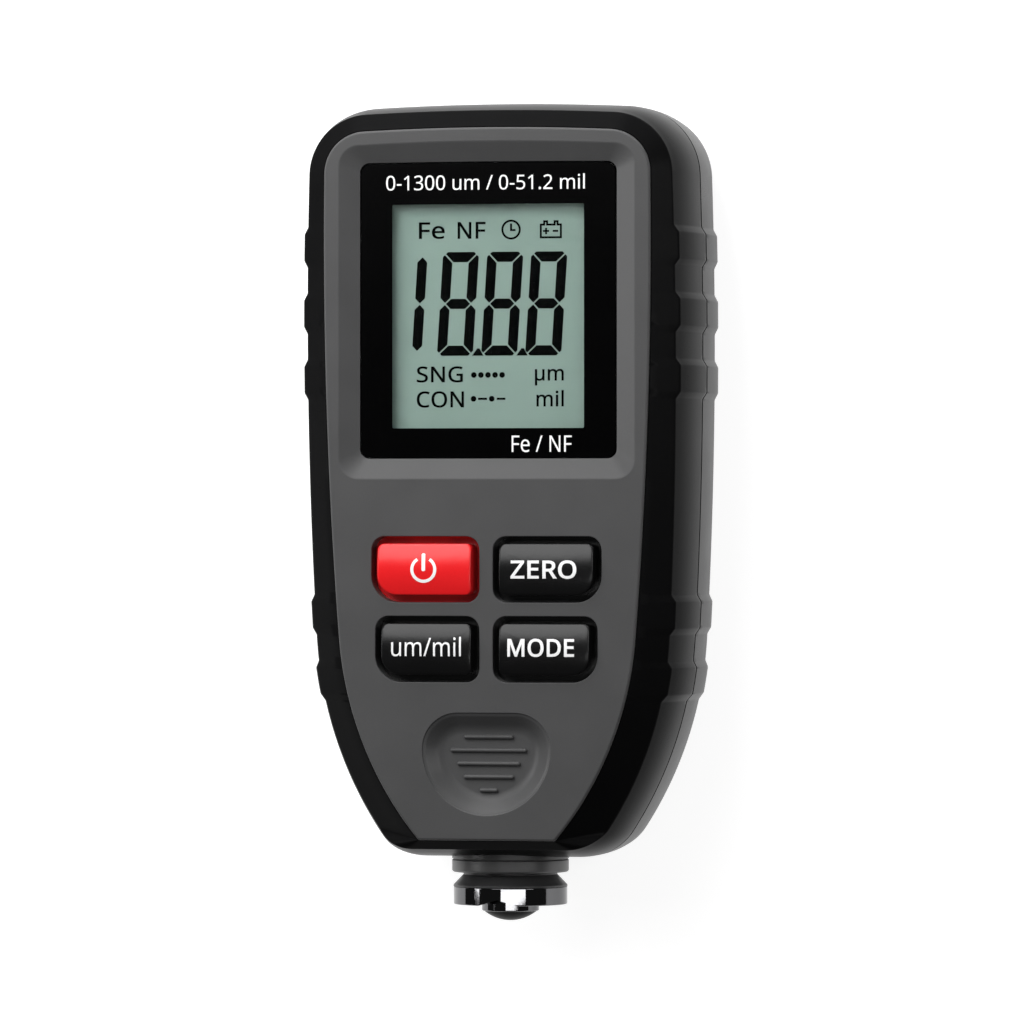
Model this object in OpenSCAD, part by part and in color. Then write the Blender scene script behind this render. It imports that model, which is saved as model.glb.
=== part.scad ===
// Pocket coating thickness gauge with a sprung probe
// X runs across the face, Y up the gauge and away from the probe, Z out of the face. The gauge lies on its
// back. Heights along Y are taken from a cross line between the display and the keys, and every node is
// moved at the end so that the origin lies on the back, under the middle of the whole gauge.

/* [Housing outline] */
// Width of the front rim
rim_w = 47.1; // [45.5:0.1:52]
// Height of the widest place
rim_wide_y = 17.9; // [12:0.1:24]
// Height of the top of the rim
rim_top_y = 47.2; // [46.4:0.1:52]
// Depth of the bottom of the rim
rim_low_y = -44.7; // [-47:0.1:-44.4]
// Radius of the bowed sides
side_r = 675; // [400:5:900]
// Height where the sides turn into the flanks
flank_y = -18.4; // [-20:0.1:-16]
// Radius of the flanks
flank_r = 47.7; // [46:0.1:52]
// Radius of the bowed top
top_r = 330; // [200:5:600]
// Radius of the two top corners
corner_r = 7.7; // [6.5:0.1:9]
// Radius of the two bottom corners
low_corner_r = 6; // [4:0.1:7]

/* [Housing shells] */
// Height of the parting line and of the probe's axis above the back
parting_z = 12; // [11.5:0.1:13]
// Flare of the wall from the rim out to the parting line
wall_flare = 1.15; // [0.6:0.05:1.6]
// Drop of the rim below the face at the top
rim_drop = 1.75; // [1.2:0.05:2.4]
// Slope of the rim plane down towards the probe
rim_slope = 0.0235; // [0.01:0.0005:0.03]
// Wall of the front shell
shell_wall = 1.9; // [1.5:0.1:2.2]
// Floor of the rear shell
floor_t = 2.6; // [2.4:0.1:3]
// Lip of the rear shell that locates the front shell
lip_t = 0.9; // [0.6:0.1:1.2]
// Height of that lip
lip_h = 1.2; // [0.8:0.1:1.8]
// Draft of the rear wall
rear_draft = 0.3; // [0.2:0.05:1]
// Width of the round along the back edge
back_round_w = 3.2; // [2:0.1:3.6]
// Height of the round along the back edge
back_round_h = 4; // [3:0.1:5]
// Width of the bevel that makes the parting groove
groove = 0.25; // [0.1:0.05:0.4]
// Rounding of the edge between rim and wall
edge_round = 0.2; // [0.15:0.05:0.6]

/* [Grip ribs] */
// Length of a rib along the side
rib_l = 5; // [4:0.1:6]
// Length of the bevel at each end of a rib
rib_bevel = 0.87; // [0.5:0.01:1.2]
// Height of a rib
rib_h = 0.55; // [0.3:0.05:0.8]
// Distance between ribs
rib_pitch = 8.25; // [7:0.05:9]
// Number of ribs beside the display
upper_ribs = 3; // [1:1:3]
// Height of the lowest of them
upper_rib_y = 13.8; // [11:0.1:15]
// Number of ribs beside the lower keys
lower_ribs = 2; // [1:1:2]
// Height of the lowest of them
lower_rib_y = -23.8; // [-25:0.1:-22]

/* [Face panel] */
// Width of the face panel
panel_w = 41.7; // [40.6:0.1:43]
// Height of its widest place
panel_wide_y = 31.4; // [26:0.1:34]
// Height of its top edge
panel_top_y = 45; // [44.6:0.1:46]
// Depth of its bottom edge
panel_low_y = -43.5; // [-44:0.1:-42.6]
// Radius of its sides
panel_side_r = 641; // [450:5:800]
// Radius of its flanks
panel_flank_r = 44.6; // [43:0.1:47]
// Radius of its top corners
panel_corner_r = 5.3; // [4:0.1:6.5]
// Thickness of the panel
panel_t = 2.4; // [2.1:0.1:2.6]
// Height of the panel's rounded border above the front shell
panel_proud = 0.3; // [0.1:0.05:0.5]
// Width of the ledge that the panel lies on
ledge_w = 1.2; // [0.8:0.1:1.4]
// Thickness of that ledge
ledge_t = 1.6; // [1.2:0.1:2]

/* [Display] */
// Height of the middle of the lens
lens_y = 22.35; // [22:0.05:22.7]
// Width of the lens
lens_w = 32.6; // [32:0.1:33]
// Length of the lens
lens_l = 36.7; // [36:0.1:37.4]
// Thickness of the lens
lens_t = 1; // [0.8:0.1:1.5]
// Corner radius of the lens
lens_r = 1.2; // [0.6:0.1:2]
// Drop of the lens's top edge at its two ends
lens_bow = 0.1; // [0.05:0.05:0.4]
// Width of the bevel round the lens
bevel_w = 2.6; // [2:0.1:2.7]
// Depth of the lens below the face
recess_depth = 1; // [0.6:0.1:1.4]
// Thickness of the tape under the lens
gasket_t = 0.2; // [0.1:0.05:0.3]
// Rim of the lens beside the liquid crystal panel
lcd_side_rim = 2.5; // [2.3:0.1:3]
// Rim of the lens above the liquid crystal panel
lcd_top_rim = 3.3; // [3:0.1:3.6]
// Rim of the lens below the liquid crystal panel
lcd_low_rim = 1.8; // [1.6:0.1:2.2]
// Thickness of the liquid crystal panel
lcd_t = 2.8; // [2:0.1:3.2]
// Room between the liquid crystal panel and the lens
lcd_gap = 0.4; // [0.3:0.1:0.6]
// Height of the liquid crystal panel above the board
lcd_stand = 2.8; // [2.4:0.1:3.2]
// Wall of the display frame
frame_t = 0.9; // [0.6:0.1:1.2]

/* [Keys] */
// Distance between the left and right keys
key_gap = 2.34; // [2:0.02:2.8]
// Height of the middle of the upper row
key_y = -9.86; // [-10.4:0.02:-9.4]
// Distance between the two rows
key_pitch = 9.91; // [9.6:0.01:10.2]
// Width of the upper keys
upper_key_w = 13.2; // [12.4:0.1:13.6]
// Width of the lower keys
lower_key_w = 12.7; // [12.2:0.1:13.2]
// Height of a key along the face
key_l = 7.6; // [7:0.1:7.8]
// Corner radius of the keys
key_r = 1.4; // [1:0.1:2.2]
// Radius of a key's outer lower corner
key_outer_r = 3; // [2:0.1:3.4]
// Width of the bevel round a key's top
key_bevel = 0.62; // [0.4:0.01:1]
// Height of a key above the face
key_proud = 0.8; // [0.5:0.1:1.2]
// Travel of a key
key_travel = 0.6; // [0.4:0.1:0.8]
// Width of the flange that holds a key behind the panel
key_flange_w = 0.6; // [0.45:0.05:0.65]
// Thickness of that flange
key_flange_t = 1; // [0.8:0.1:1.2]
// Thickness of the rubber mat's web
mat_t = 0.8; // [0.5:0.1:1]
// Height of the rubber domes above the web
dome_h = 1.6; // [1.2:0.1:1.8]
// Diameter of the rubber domes
dome_d = 5.4; // [4.6:0.1:6]

/* [Thumb scoop] */
// Width of the scoop
scoop_w = 16.3; // [15:0.1:17]
// Height of the scoop's flat top
scoop_top_y = -27.7; // [-28.2:0.1:-27.2]
// Radius of its two shoulders
scoop_shoulder_r = 4.5; // [3.5:0.1:5.5]
// Depth of the scoop
scoop_depth = 1.1; // [0.9:0.1:1.6]
// Width of its curved side
scoop_side_w = 2.2; // [1.6:0.1:2.4]
// Distance between the raised bars in the scoop
bar_pitch = 1.62; // [1.4:0.02:1.66]
// Width of a bar
bar_w = 0.55; // [0.4:0.05:0.7]
// Height of a bar
bar_h = 0.4; // [0.2:0.05:0.6]

/* [Probe] */
// Depth that the collar's flange sits in the housing
collar_sink = 0.8; // [0.6:0.05:0.9]
// Diameter of the collar's flange
collar_d = 14.66; // [13.8:0.02:15.4]
// Thickness of the collar's flange
collar_t = 2.8; // [2.4:0.05:3.2]
// Diameter of the collar's neck in the housing
collar_neck_d = 13.5; // [12.6:0.1:13.7]
// Diameter of the collar's flange inside the housing
collar_back_d = 14.3; // [14:0.1:14.5]
// Thickness of the collar's flange inside the housing
collar_back_t = 1.2; // [0.9:0.1:1.5]
// Diameter of the sleeve where it leaves the collar
sleeve_neck_d = 11.8; // [11:0.1:12.6]
// Length of the sleeve
sleeve_l = 1.85; // [1.5:0.05:2.4]
// Diameter of the skirt
skirt_d = 14.3; // [13.4:0.1:15]
// Length of the skirt
skirt_l = 2.2; // [1.8:0.1:2.8]
// Width of the notch across the skirt for round bars
notch_w = 5.2; // [4:0.1:7]
// Depth of that notch
notch_depth = 0.75; // [0.4:0.05:1]
// Diameter of the plunger
plunger_d = 7.2; // [6.8:0.1:7.6]
// Reach of the plunger below the skirt
plunger_reach = 0.85; // [0.6:0.05:1.2]
// Diameter of the shoulder that stops the plunger
shoulder_d = 9.6; // [9.2:0.1:10]
// Thickness of that shoulder
shoulder_t = 1.2; // [0.9:0.1:1.6]
// Bore of the plunger
plunger_bore_d = 5.2; // [4.8:0.1:5.4]
// Thickness of the plunger's end
plunger_end_t = 1.3; // [0.9:0.1:1.6]
// Diameter of the domed tip
tip_d = 6.65; // [6:0.05:6.75]
// Height of the domed tip
tip_h = 1.2; // [0.8:0.1:1.6]
// Diameter of the magnetic core
core_d = 2.5; // [2:0.1:3]
// Length of the magnetic core
core_l = 7; // [6:0.1:8]
// Length of the coil
coil_l = 6; // [4:0.1:6]
// Mean diameter of the probe's spring
spring_d = 7.6; // [7.2:0.1:8]
// Wire of the probe's spring
spring_wire = 0.7; // [0.5:0.05:0.8]
// Length of the probe's spring in place
spring_l = 8; // [7:0.1:9]
// Turns of the probe's spring
spring_turns = 5; // [4:1:6]

/* [Batteries] */
// Diameter of a cell
cell_d = 10.5; // [10.2:0.1:11]
// Length of a cell with its nub
cell_l = 44.5; // [43.5:0.1:45]
// Diameter of a cell's nub
nub_d = 3.8; // [3:0.1:4.5]
// Height of a cell's nub
nub_h = 1.2; // [0.8:0.1:1.6]
// Height of the lower end of the battery bay
bay_low_y = -8; // [-9:0.1:-7.4]
// Wall of the battery bay
bay_wall = 1.4; // [1:0.1:1.6]
// Roof of the battery bay
bay_roof_t = 1.1; // [0.8:0.1:1.5]
// Length of a contact spring
contact_l = 4.2; // [3.4:0.1:4.6]
// Thickness of a contact plate
contact_t = 0.4; // [0.3:0.05:0.6]
// Width of a contact plate
contact_w = 8; // [7:0.1:9]
// Wire of a contact spring
contact_wire = 0.6; // [0.4:0.05:0.8]
// Thickness of the battery door
door_t = 1.6; // [1.3:0.1:1.7]
// Width of the door beyond the bay on each side
door_land = 1.6; // [1.2:0.1:2]
// Width of the tongues that hold the door in its slot
tongue_w = 0.9; // [0.6:0.1:1.1]
// Thickness of those tongues
tongue_t = 0.7; // [0.5:0.1:0.8]
// Number of grip grooves across the door
grip_grooves = 6; // [4:1:8]

/* [Board and screws] */
// Thickness of the circuit board
board_t = 1.6; // [1.2:0.1:2]
// Room between the battery bay and the board
board_gap = 1.6; // [1.2:0.1:2.4]
// Margin of the board inside the parting outline
board_inset = 3.2; // [2.8:0.1:3.6]
// Side of the main chip
chip_w = 9; // [6:0.5:10]
// Thickness of the main chip
chip_t = 1.2; // [0.8:0.1:1.4]
// Diameter of the screw bosses that join the shells
boss_d = 6; // [5.2:0.1:6.2]
// Diameter of the housing screws
screw_d = 2.2; // [1.8:0.1:2.6]
// Diameter of the housing screws' heads
screw_head_d = 4.2; // [3.6:0.1:4.4]
// Height of the housing screws' heads
screw_head_h = 1.4; // [1:0.1:1.6]
// Sideways place of the upper screws
upper_screw_x = 18.2; // [18.2:0.1:18.4]
// Height of the upper screws
upper_screw_y = 39.8; // [39.6:0.1:40.2]
// Sideways place of the lower screws
lower_screw_x = 13.6; // [12.6:0.1:13.8]
// Height of the lower screws
lower_screw_y = -32.5; // [-33.2:0.1:-32.4]
// Diameter of the posts that carry the board
post_d = 3.6; // [3.2:0.1:3.8]
// Diameter of the board screws
board_screw_d = 1.6; // [1.2:0.1:2]
// Height of the upper board posts
upper_post_y = 31; // [28:0.5:33]
// Sideways place of the lower board posts
lower_post_x = 8.6; // [7:0.1:9]

/* [Hidden] */

// Clearances
shell_gap = 0.1;
panel_gap = 0.1;
lens_gap = 0.1;
lcd_clear = 0.1;
key_clear = 0.3;
dome_clear = 0.15;
plunger_clear = 0.08;
skirt_clear = 0.6;
neck_clear = 0.1;
coil_clear = 0.05;
cell_clear = 0.3;
door_clear = 0.12;
screw_clear = 0.05;
shank_clear = 0.25;
head_clear = 0.2;
boss_clear = 0.4;
post_clear = 0.3;
spring_clear = 0.05;

chip_clear = 2;
board_end_clear = 1.5;

// Small sizes inside the housing
well_ledge_t = 1.3;
gasket_inset = 0.3;
frame_drop = 1.6;
frame_floor_t = 0.8;
inner_round = 2;
seat_t = 2;
web_t = 1.4;
head_sink = 0.8;
board_head_h = 1;
key_foot_inset = 2;
// Depth below the face at which a key's edge starts to slope
key_slope_drop = 0.5;
dome_taper = 0.7;
collar_edge = 0.35;
sleeve_neck_h = 0.3;
sleeve_land_h = 0.25;
zebra_w = 24;
zebra_t = 1.8;
zebra_inset = 1;

// Overlap of pieces that are one solid, and overshoot of cuts
sink = 0.3;
over = 1;
// Smallest corner radius of a shrunken outline
least_r = 0.3;
$fn = 48;

// Stack of heights from the back to the face
cell_z = door_t + cell_clear + cell_d / 2;
bay_roof_z = door_t + 2 * cell_clear + cell_d;
bay_top_z = bay_roof_z + bay_roof_t;
board_low_z = bay_top_z + board_gap;
board_top_z = board_low_z + board_t;
lcd_low_z = board_top_z + lcd_stand;
lcd_top_z = lcd_low_z + lcd_t;
lens_low_z = lcd_top_z + lcd_gap;
lens_top_z = lens_low_z + lens_t;
face_z = lens_top_z + recess_depth;
panel_under_z = face_z - panel_t;
ledge_low_z = panel_under_z - ledge_t;
well_floor_z = lens_low_z - gasket_t;
well_low_z = well_floor_z - well_ledge_t;
frame_top_z = lcd_top_z - frame_drop;
mat_top_z = board_top_z + mat_t;
dome_top_z = mat_top_z + dome_h;
key_foot_z = dome_top_z + key_travel + dome_clear;
key_flange_z = panel_under_z - key_flange_t;

// Stations of the probe along its axis, from the housing outwards and from the collar inwards
housing_low_y = rim_low_y - wall_flare;
collar_top_y = housing_low_y + collar_sink;
sleeve_top_y = collar_top_y - collar_t;
skirt_top_y = sleeve_top_y - sleeve_l;
skirt_low_y = skirt_top_y - skirt_l;
tip_top_y = skirt_low_y - plunger_reach;
tip_low_y = tip_top_y - tip_h;
rear_wall_t = shell_wall + shell_gap + lip_t;
collar_back_y = housing_low_y + rear_wall_t + neck_clear;
shoulder_y = collar_back_y + collar_back_t;
spring_low_y = shoulder_y + shoulder_t;
spring_seat_y = spring_low_y + spring_l;
seat_top_y = spring_seat_y + seat_t;
board_low_y = seat_top_y + board_end_clear;

// Battery bay and door
cell_x = cell_d / 2 + cell_clear;
bay_half_w = cell_x + cell_d / 2 + cell_clear;
bay_l = 2 * contact_t + contact_l + cell_l;
bay_high_y = bay_low_y + bay_l;
door_half_w = bay_half_w + door_land;
door_low_y = bay_low_y - bay_wall;
grip_start = 7;
grip_pitch = 1.7;
grip_w = 0.8;
grip_l = 12;
grip_depth = 0.4;

// The whole gauge, for the origin
housing_top_y = rim_top_y + wall_flare;
middle_y = (housing_top_y + tip_low_y) / 2;

// Display window and keys
lcd_w = lens_w - 2 * lcd_side_rim;
lcd_l = lens_l - lcd_top_rim - lcd_low_rim;
lcd_y = lens_y + (lcd_low_rim - lcd_top_rim) / 2;
well_half_w = lcd_w / 2 + 4 * lcd_clear;
well_half_l = lcd_l / 2 + 4 * lcd_clear;
frame_half_w = lcd_w / 2 + lcd_clear + frame_t;
frame_half_l = lcd_l / 2 + lcd_clear + frame_t;
lower_key_y = key_y - key_pitch;
mat_low_y = lower_key_y - key_l / 2 - key_flange_w - dome_clear;
mat_high_y = key_y + key_l / 2 + key_flange_w + dome_clear;
mat_half_w = key_gap / 2 + upper_key_w + key_flange_w;

// Screws and posts
screw_places = [[upper_screw_x, upper_screw_y], [lower_screw_x, lower_screw_y]];
head_depth = screw_head_h + head_sink;
upper_post_x = frame_half_w + post_clear + post_d / 2;
lower_post_y = mat_low_y - post_clear - post_d / 2;
post_places = [[upper_post_x, upper_post_y], [lower_post_x, lower_post_y]];
board_head_d = 2 * board_screw_d;

// Lengths of the bars in the scoop, from the top one down
bar_lengths = [6.4, 9.8, 8.1, 6.5, 2.4];

// Grip ribs, from the lowest up
rib_ys = concat([for (i = [0:lower_ribs - 1]) lower_rib_y + i * rib_pitch],
                [for (i = [0:upper_ribs - 1]) upper_rib_y + i * rib_pitch]);
rib_top_y = rib_ys[len(rib_ys) - 1] + rib_l / 2;
waist_low_y = rib_ys[lower_ribs - 1] + rib_l / 2;
waist_high_y = upper_rib_y - rib_l / 2;
waist_steps = 4;

// Heights at which every ring of the housing has a point on its side, from the lowest rib up
side_ys = concat(rib_stations(0, lower_ribs - 1),
                 [for (i = [1:waist_steps - 1]) mix(waist_low_y, waist_high_y, i / waist_steps)],
                 rib_stations(lower_ribs, len(rib_ys) - 1),
                 [mix(rib_top_y, rim_top_y - corner_r, 0.5)]);

function mix(a, b, t) = a + (b - a) * t;
function at(c, r, a) = c + r * [cos(a), sin(a)];
function arc(c, r, a0, a1, steps) = [for (i = [0:steps]) at(c, r, mix(a0, a1, i / steps))];
function flip(pts) = [for (i = [len(pts) - 1:-1:0]) [-pts[i].x, pts[i].y]];
function heading(p) = atan2(p.y, p.x);
function rib_stations(first, last) =
    [for (i = [first:last])
        each [for (s = [-rib_l / 2, rib_bevel - rib_l / 2, rib_l / 2 - rib_bevel, rib_l / 2]) rib_ys[i] + s]];
function rib_rise(y) =
    rib_h * max([for (c = rib_ys) min(1, max(0, (rib_l / 2 - abs(y - c)) / rib_bevel))]);

// An outline of the housing: half width, its height, side radius, angle where the side ends, flank radius,
// bottom, bottom corner radius, top, top radius, top corner radius
function outline(w, wide_y, r, end_y, flank, low, low_r, top, bow, corner) =
    [w / 2, wide_y, r, asin((end_y - wide_y) / r), flank, low, low_r, top, bow, corner];
function grown(o, e) = [o[0] + e, o[1], o[2] + e, o[3], o[4] + e, o[5] - e, max(o[6] + e, least_r),
                        o[7] + e, o[8] + e, max(o[9] + e, least_r)];
function side_c(o) = [o[0] - o[2], o[1]];
function flank_c(o) = at(side_c(o), o[2] - o[4], o[3]);
function low_c(o) =
    let (c = flank_c(o), y = o[5] + o[6])
    [c.x + sqrt(pow(o[4] - o[6], 2) - pow(y - c.y, 2)), y];
function top_c(o) = [0, o[7] - o[8]];
// Centre of the corner arc that touches the side arc and the top arc from inside
function corner_c(o) =
    let (p = side_c(o), q = top_c(o), rp = o[2] - o[9], rq = o[8] - o[9], d = norm(q - p), u = (q - p) / d)
    let (along = (d * d + rp * rp - rq * rq) / (2 * d), across = sqrt(rp * rp - along * along))
    p + along * u + across * [-u.y, u.x];
function side_x(o, y) =
    let (s = side_c(o), f = flank_c(o))
    y > at(s, o[2], o[3]).y ? s.x + sqrt(o[2] * o[2] - pow(y - s.y, 2)) : f.x + sqrt(o[4] * o[4] - pow(y - f.y, 2));

// The closed ring of an outline, always with the same number of points
low_steps = 5;
flank_steps = 6;
corner_steps = 8;
top_steps = 3;
function half_ring(o) =
    let (f = flank_c(o), l = low_c(o), c = corner_c(o), t = top_c(o))
    let (a_low = heading(l - f), a_side = asin((side_ys[0] - f.y) / o[4]))
    let (a_corner = heading(c - side_c(o)), a_top = heading(c - t))
    concat(arc(l, o[6], -90, a_low, low_steps),
           [for (i = [1:flank_steps - 1]) at(f, o[4], mix(a_low, a_side, i / flank_steps))],
           [for (y = side_ys) [side_x(o, y), y]],
           arc(c, o[9], a_corner, a_top, corner_steps),
           [for (i = [1:top_steps - 1]) at(t, o[8], mix(a_top, 90, i / top_steps))]);
function ring(o) = concat(half_ring(o), [[0, o[7]]], flip(half_ring(o)));
function flat(pts, z) = [for (p = pts) [p.x, p.y, z]];
function ribbed(pts) = [for (p = pts) [p.x + sign(p.x) * rib_rise(p.y), p.y]];
function mix_rings(a, b, t) = [for (i = [0:len(a) - 1]) mix(a[i], b[i], t)];

rim = outline(rim_w, rim_wide_y, side_r, flank_y, flank_r, rim_low_y, low_corner_r, rim_top_y, top_r, corner_r);
parting = grown(rim, wall_flare);
panel = outline(panel_w, panel_wide_y, panel_side_r, flank_y, panel_flank_r, panel_low_y, least_r,
                panel_top_y, top_r, panel_corner_r);

// Corners are [x, y, radius] and run anticlockwise
function corner_arc(p, c, q, steps) =
    let (u = ([p.x, p.y] - [c.x, c.y]) / norm([p.x, p.y] - [c.x, c.y]))
    let (v = ([q.x, q.y] - [c.x, c.y]) / norm([q.x, q.y] - [c.x, c.y]))
    let (half = acos(u * v) / 2, mid = [c.x, c.y] + (u + v) / norm(u + v) * c.z / sin(half))
    let (a = heading([c.x, c.y] + u * c.z / tan(half) - mid))
    arc(mid, c.z, a, a + 180 - 2 * half, steps);
function rounded(corners, steps = 5) =
    let (n = len(corners))
    [for (i = [0:n - 1])
        each corners[i].z > 0
            ? corner_arc(corners[(i + n - 1) % n], corners[i], corners[(i + 1) % n], steps)
            : [[corners[i].x, corners[i].y]]];
function box_corners(x0, y0, x1, y1, r) = [[x0, y0, r], [x1, y0, r], [x1, y1, r], [x0, y1, r]];
function middle(corners) = [for (k = [0:2]) [for (c = corners) 1] * [for (c = corners) c[k]] / len(corners)];
// Corners moved outwards by e from the middle of their shape
function spread(corners, e) =
    let (m = middle(corners))
    [for (c = corners)
        [c.x + sign(c.x - m.x) * e, c.y + sign(c.y - m.y) * e, c.z > 0 ? max(c.z + e, least_r) : 0]];

// A solid skin over rings of equal length. Closed by flat ends, or joined end to start round a section
module skin(rings, loop = false) {
    n = len(rings[0]);
    last = len(rings) - 1;
    low_mid = len(rings) * n;
    sides = [for (k = [0:loop ? last : last - 1])
        let (up = (k + 1) % len(rings))
        each [for (i = [0:n - 1])
            let (j = (i + 1) % n)
            each [[k * n + i, up * n + j, k * n + j], [k * n + i, up * n + i, up * n + j]]]];
    ends = [for (i = [0:n - 1])
        let (j = (i + 1) % n)
        each [[low_mid, i, j], [low_mid + 1, last * n + j, last * n + i]]];
    ones = [for (i = [1:n]) 1];
    mids = [ones * rings[0] / n, ones * rings[last] / n];
    polyhedron(concat([for (r = rings) each r], loop ? [] : mids), loop ? sides : concat(sides, ends));
}

// A straight prism on a flat outline
module prism(pts, z0, z1) {
    translate([0, 0, z0]) linear_extrude(z1 - z0) polygon(pts);
}

module box(x0, y0, z0, x1, y1, z1) {
    translate([x0, y0, z0]) cube([x1 - x0, y1 - y0, z1 - z0]);
}

module post(x, y, d, z0, z1) {
    translate([x, y, z0]) cylinder(d = d, h = z1 - z0);
}

module both_sides() {
    children();
    mirror([1, 0, 0]) children();
}

// A body of revolution about the probe's axis, from a profile of [radius, height along Y]
module turned(profile) {
    translate([0, 0, parting_z]) rotate([-90, 0, 0]) rotate_extrude() polygon(profile);
}

// A round wire wound from the origin along Z, its two end turns closed flat
module coil_wire(r0, r1, wire, length, turns, per_turn = 12, sides = 6) {
    end_turn = 0.35;
    steps = turns * per_turn;
    rise = length - wire;
    rings = [for (i = [0:steps])
        let (t = i / steps, a = 360 * i / per_turn)
        let (lay = min(1, max(0, (t * turns - end_turn) / (turns - 2 * end_turn))))
        [for (k = [0:sides - 1])
            let (b = -360 * k / sides, r = mix(r0, r1, t) + wire / 2 * cos(b))
            [r * cos(a), r * sin(a), wire / 2 + rise * lay + wire / 2 * sin(b)]]];
    skin(rings);
}

// Front shell: a section swept round the outline, with a chamfered rim and a ledge for the face panel
module front_shell() {
    rim_z = function (p) face_z - rim_drop - (rim_top_y - p.y) * rim_slope;
    chamfer_slope = rim_drop / ((rim_w - panel_w) / 2);
    wall = flat(ribbed(ring(parting)), parting_z + groove);
    edge = [for (p = ring(rim)) [p.x + sign(p.x) * rib_rise(p.y), p.y, rim_z(p) - rib_rise(p.y) * chamfer_slope]];
    border = ring(grown(panel, panel_gap));
    lip = flat(border, face_z - panel_proud);
    inner = ring(grown(parting, -shell_wall));
    ledge = ring(grown(panel, -ledge_w));
    section = [flat(ribbed(ring(grown(parting, -groove))), parting_z),
               wall,
               mix_rings(edge, wall, edge_round / (face_z - parting_z - rim_drop)),
               mix_rings(edge, lip, edge_round / ((rim_w - panel_w) / 2)),
               lip,
               flat(border, panel_under_z),
               flat(ledge, panel_under_z),
               flat(ledge, ledge_low_z),
               flat(inner, ledge_low_z),
               flat(inner, parting_z)];
    color([0.06, 0.06, 0.065])
    difference() {
        union() {
            skin(section, loop = true);
            both_sides() for (s = screw_places) boss(s, parting_z, ledge_low_z + sink, shell_wall);
        }
        collar_hole();
        both_sides() for (s = screw_places) {
            post(s.x, s.y, screw_d + 2 * screw_clear, parting_z - over, ledge_low_z - ledge_t);
        }
    }
}

// A screw boss with a web out to the wall beside it
module boss(place, z0, z1, wall) {
    post(place.x, place.y, boss_d, z0, z1);
    box(place.x, place.y - web_t / 2, z0, side_x(parting, place.y) - wall + sink, place.y + web_t / 2, z1);
}

module collar_hole() {
    neck_r = collar_neck_d / 2 + neck_clear;
    flange_r = collar_d / 2 + neck_clear;
    seat_y = collar_top_y + neck_clear;
    turned([[0, housing_low_y - over], [flange_r, housing_low_y - over], [flange_r, seat_y], [neck_r, seat_y],
            [neck_r, collar_back_y], [0, collar_back_y]]);
}

// Face panel: a plate with the display well, the key openings and the thumb scoop
module face_panel() {
    lens = lens_corners();
    bevel = bevel_corners();
    color([0.30, 0.30, 0.31])
    difference() {
        union() {
            difference() {
                union() {
                    skin([flat(ring(panel), panel_under_z),
                          flat(ring(panel), face_z - panel_proud),
                          flat(ring(grown(panel, -panel_proud)), face_z)]);
                    box(-lens_w / 2 - lens_gap - ledge_w, lens_y - lens_l / 2 - ledge_w, well_low_z,
                        lens_w / 2 + lens_gap + ledge_w, lens_y + lens_l / 2 + ledge_w, panel_under_z + sink);
                    both_sides() for (p = post_places) {
                        post(p.x, p.y, post_d, board_top_z, panel_under_z + sink);
                    }
                }
                skin([flat(rounded(spread(lens, lens_gap)), lens_top_z),
                      flat(rounded(bevel), face_z),
                      flat(rounded(bevel), face_z + over)]);
                prism(rounded(spread(lens, lens_gap)), well_floor_z, lens_top_z + sink);
                scoop();
            }
            scoop_ribs();
        }
        box(-well_half_w, lcd_y - well_half_l, well_low_z - over, well_half_w, lcd_y + well_half_l, face_z);
        for (k = key_shapes()) prism(rounded(spread(k, key_clear)), panel_under_z - over, face_z + over);
        both_sides() for (p = post_places) {
            post(p.x, p.y, board_screw_d + 2 * screw_clear, board_top_z - over, panel_under_z);
        }
    }
}

// A rounded rectangle whose top edge drops by bow at its two ends
function bowed_corners(x, y0, y1, r, bow) =
    [[-x, y0, r], [x, y0, r], [x, y1 - bow, r], [x / 2, y1 - bow / 4, 0], [0, y1, 0], [-x / 2, y1 - bow / 4, 0],
     [-x, y1 - bow, r]];
function lens_corners() = bowed_corners(lens_w / 2, lens_y - lens_l / 2, lens_y + lens_l / 2, lens_r, lens_bow);

// Outer edge of the bevel round the lens, rounder at the corners and bowed like the top of the panel
function bevel_corners() =
    let (x = lens_w / 2 + bevel_w)
    bowed_corners(x, lens_y - lens_l / 2 - bevel_w, lens_y + lens_l / 2 + bevel_w, lens_r + bevel_w / 2,
                  x * x / (2 * top_r));

// Scoop outline: a half circle below, two shoulders and a flat top above
function scoop_ring(e) =
    let (y = scoop_top_y - scoop_shoulder_r, x = scoop_w / 2 - scoop_shoulder_r)
    concat(arc([0, y], scoop_w / 2 + e, -180, 0, 14),
           arc([x, y], scoop_shoulder_r + e, 10, 90, 6),
           arc([-x, y], scoop_shoulder_r + e, 90, 170, 6));

module scoop() {
    cove = [for (a = [90:-22.5:0]) [-scoop_side_w * (1 - cos(a)), face_z - scoop_depth * sin(a)]];
    skin(concat([for (c = cove) flat(scoop_ring(c[0]), c[1])], [flat(scoop_ring(0), face_z + over)]));
}

// Bars with round ends across the floor of the scoop, the second one on its widest line
module scoop_ribs() {
    z0 = face_z - scoop_depth - sink;
    z1 = face_z - scoop_depth + bar_h;
    for (i = [0:len(bar_lengths) - 1]) {
        y = scoop_top_y - scoop_shoulder_r + (1 - i) * bar_pitch;
        half = (bar_lengths[i] - bar_w) / 2;
        box(-half, y - bar_w / 2, z0, half, y + bar_w / 2, z1);
        both_sides() post(half, y, bar_w, z0, z1);
    }
}

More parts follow.
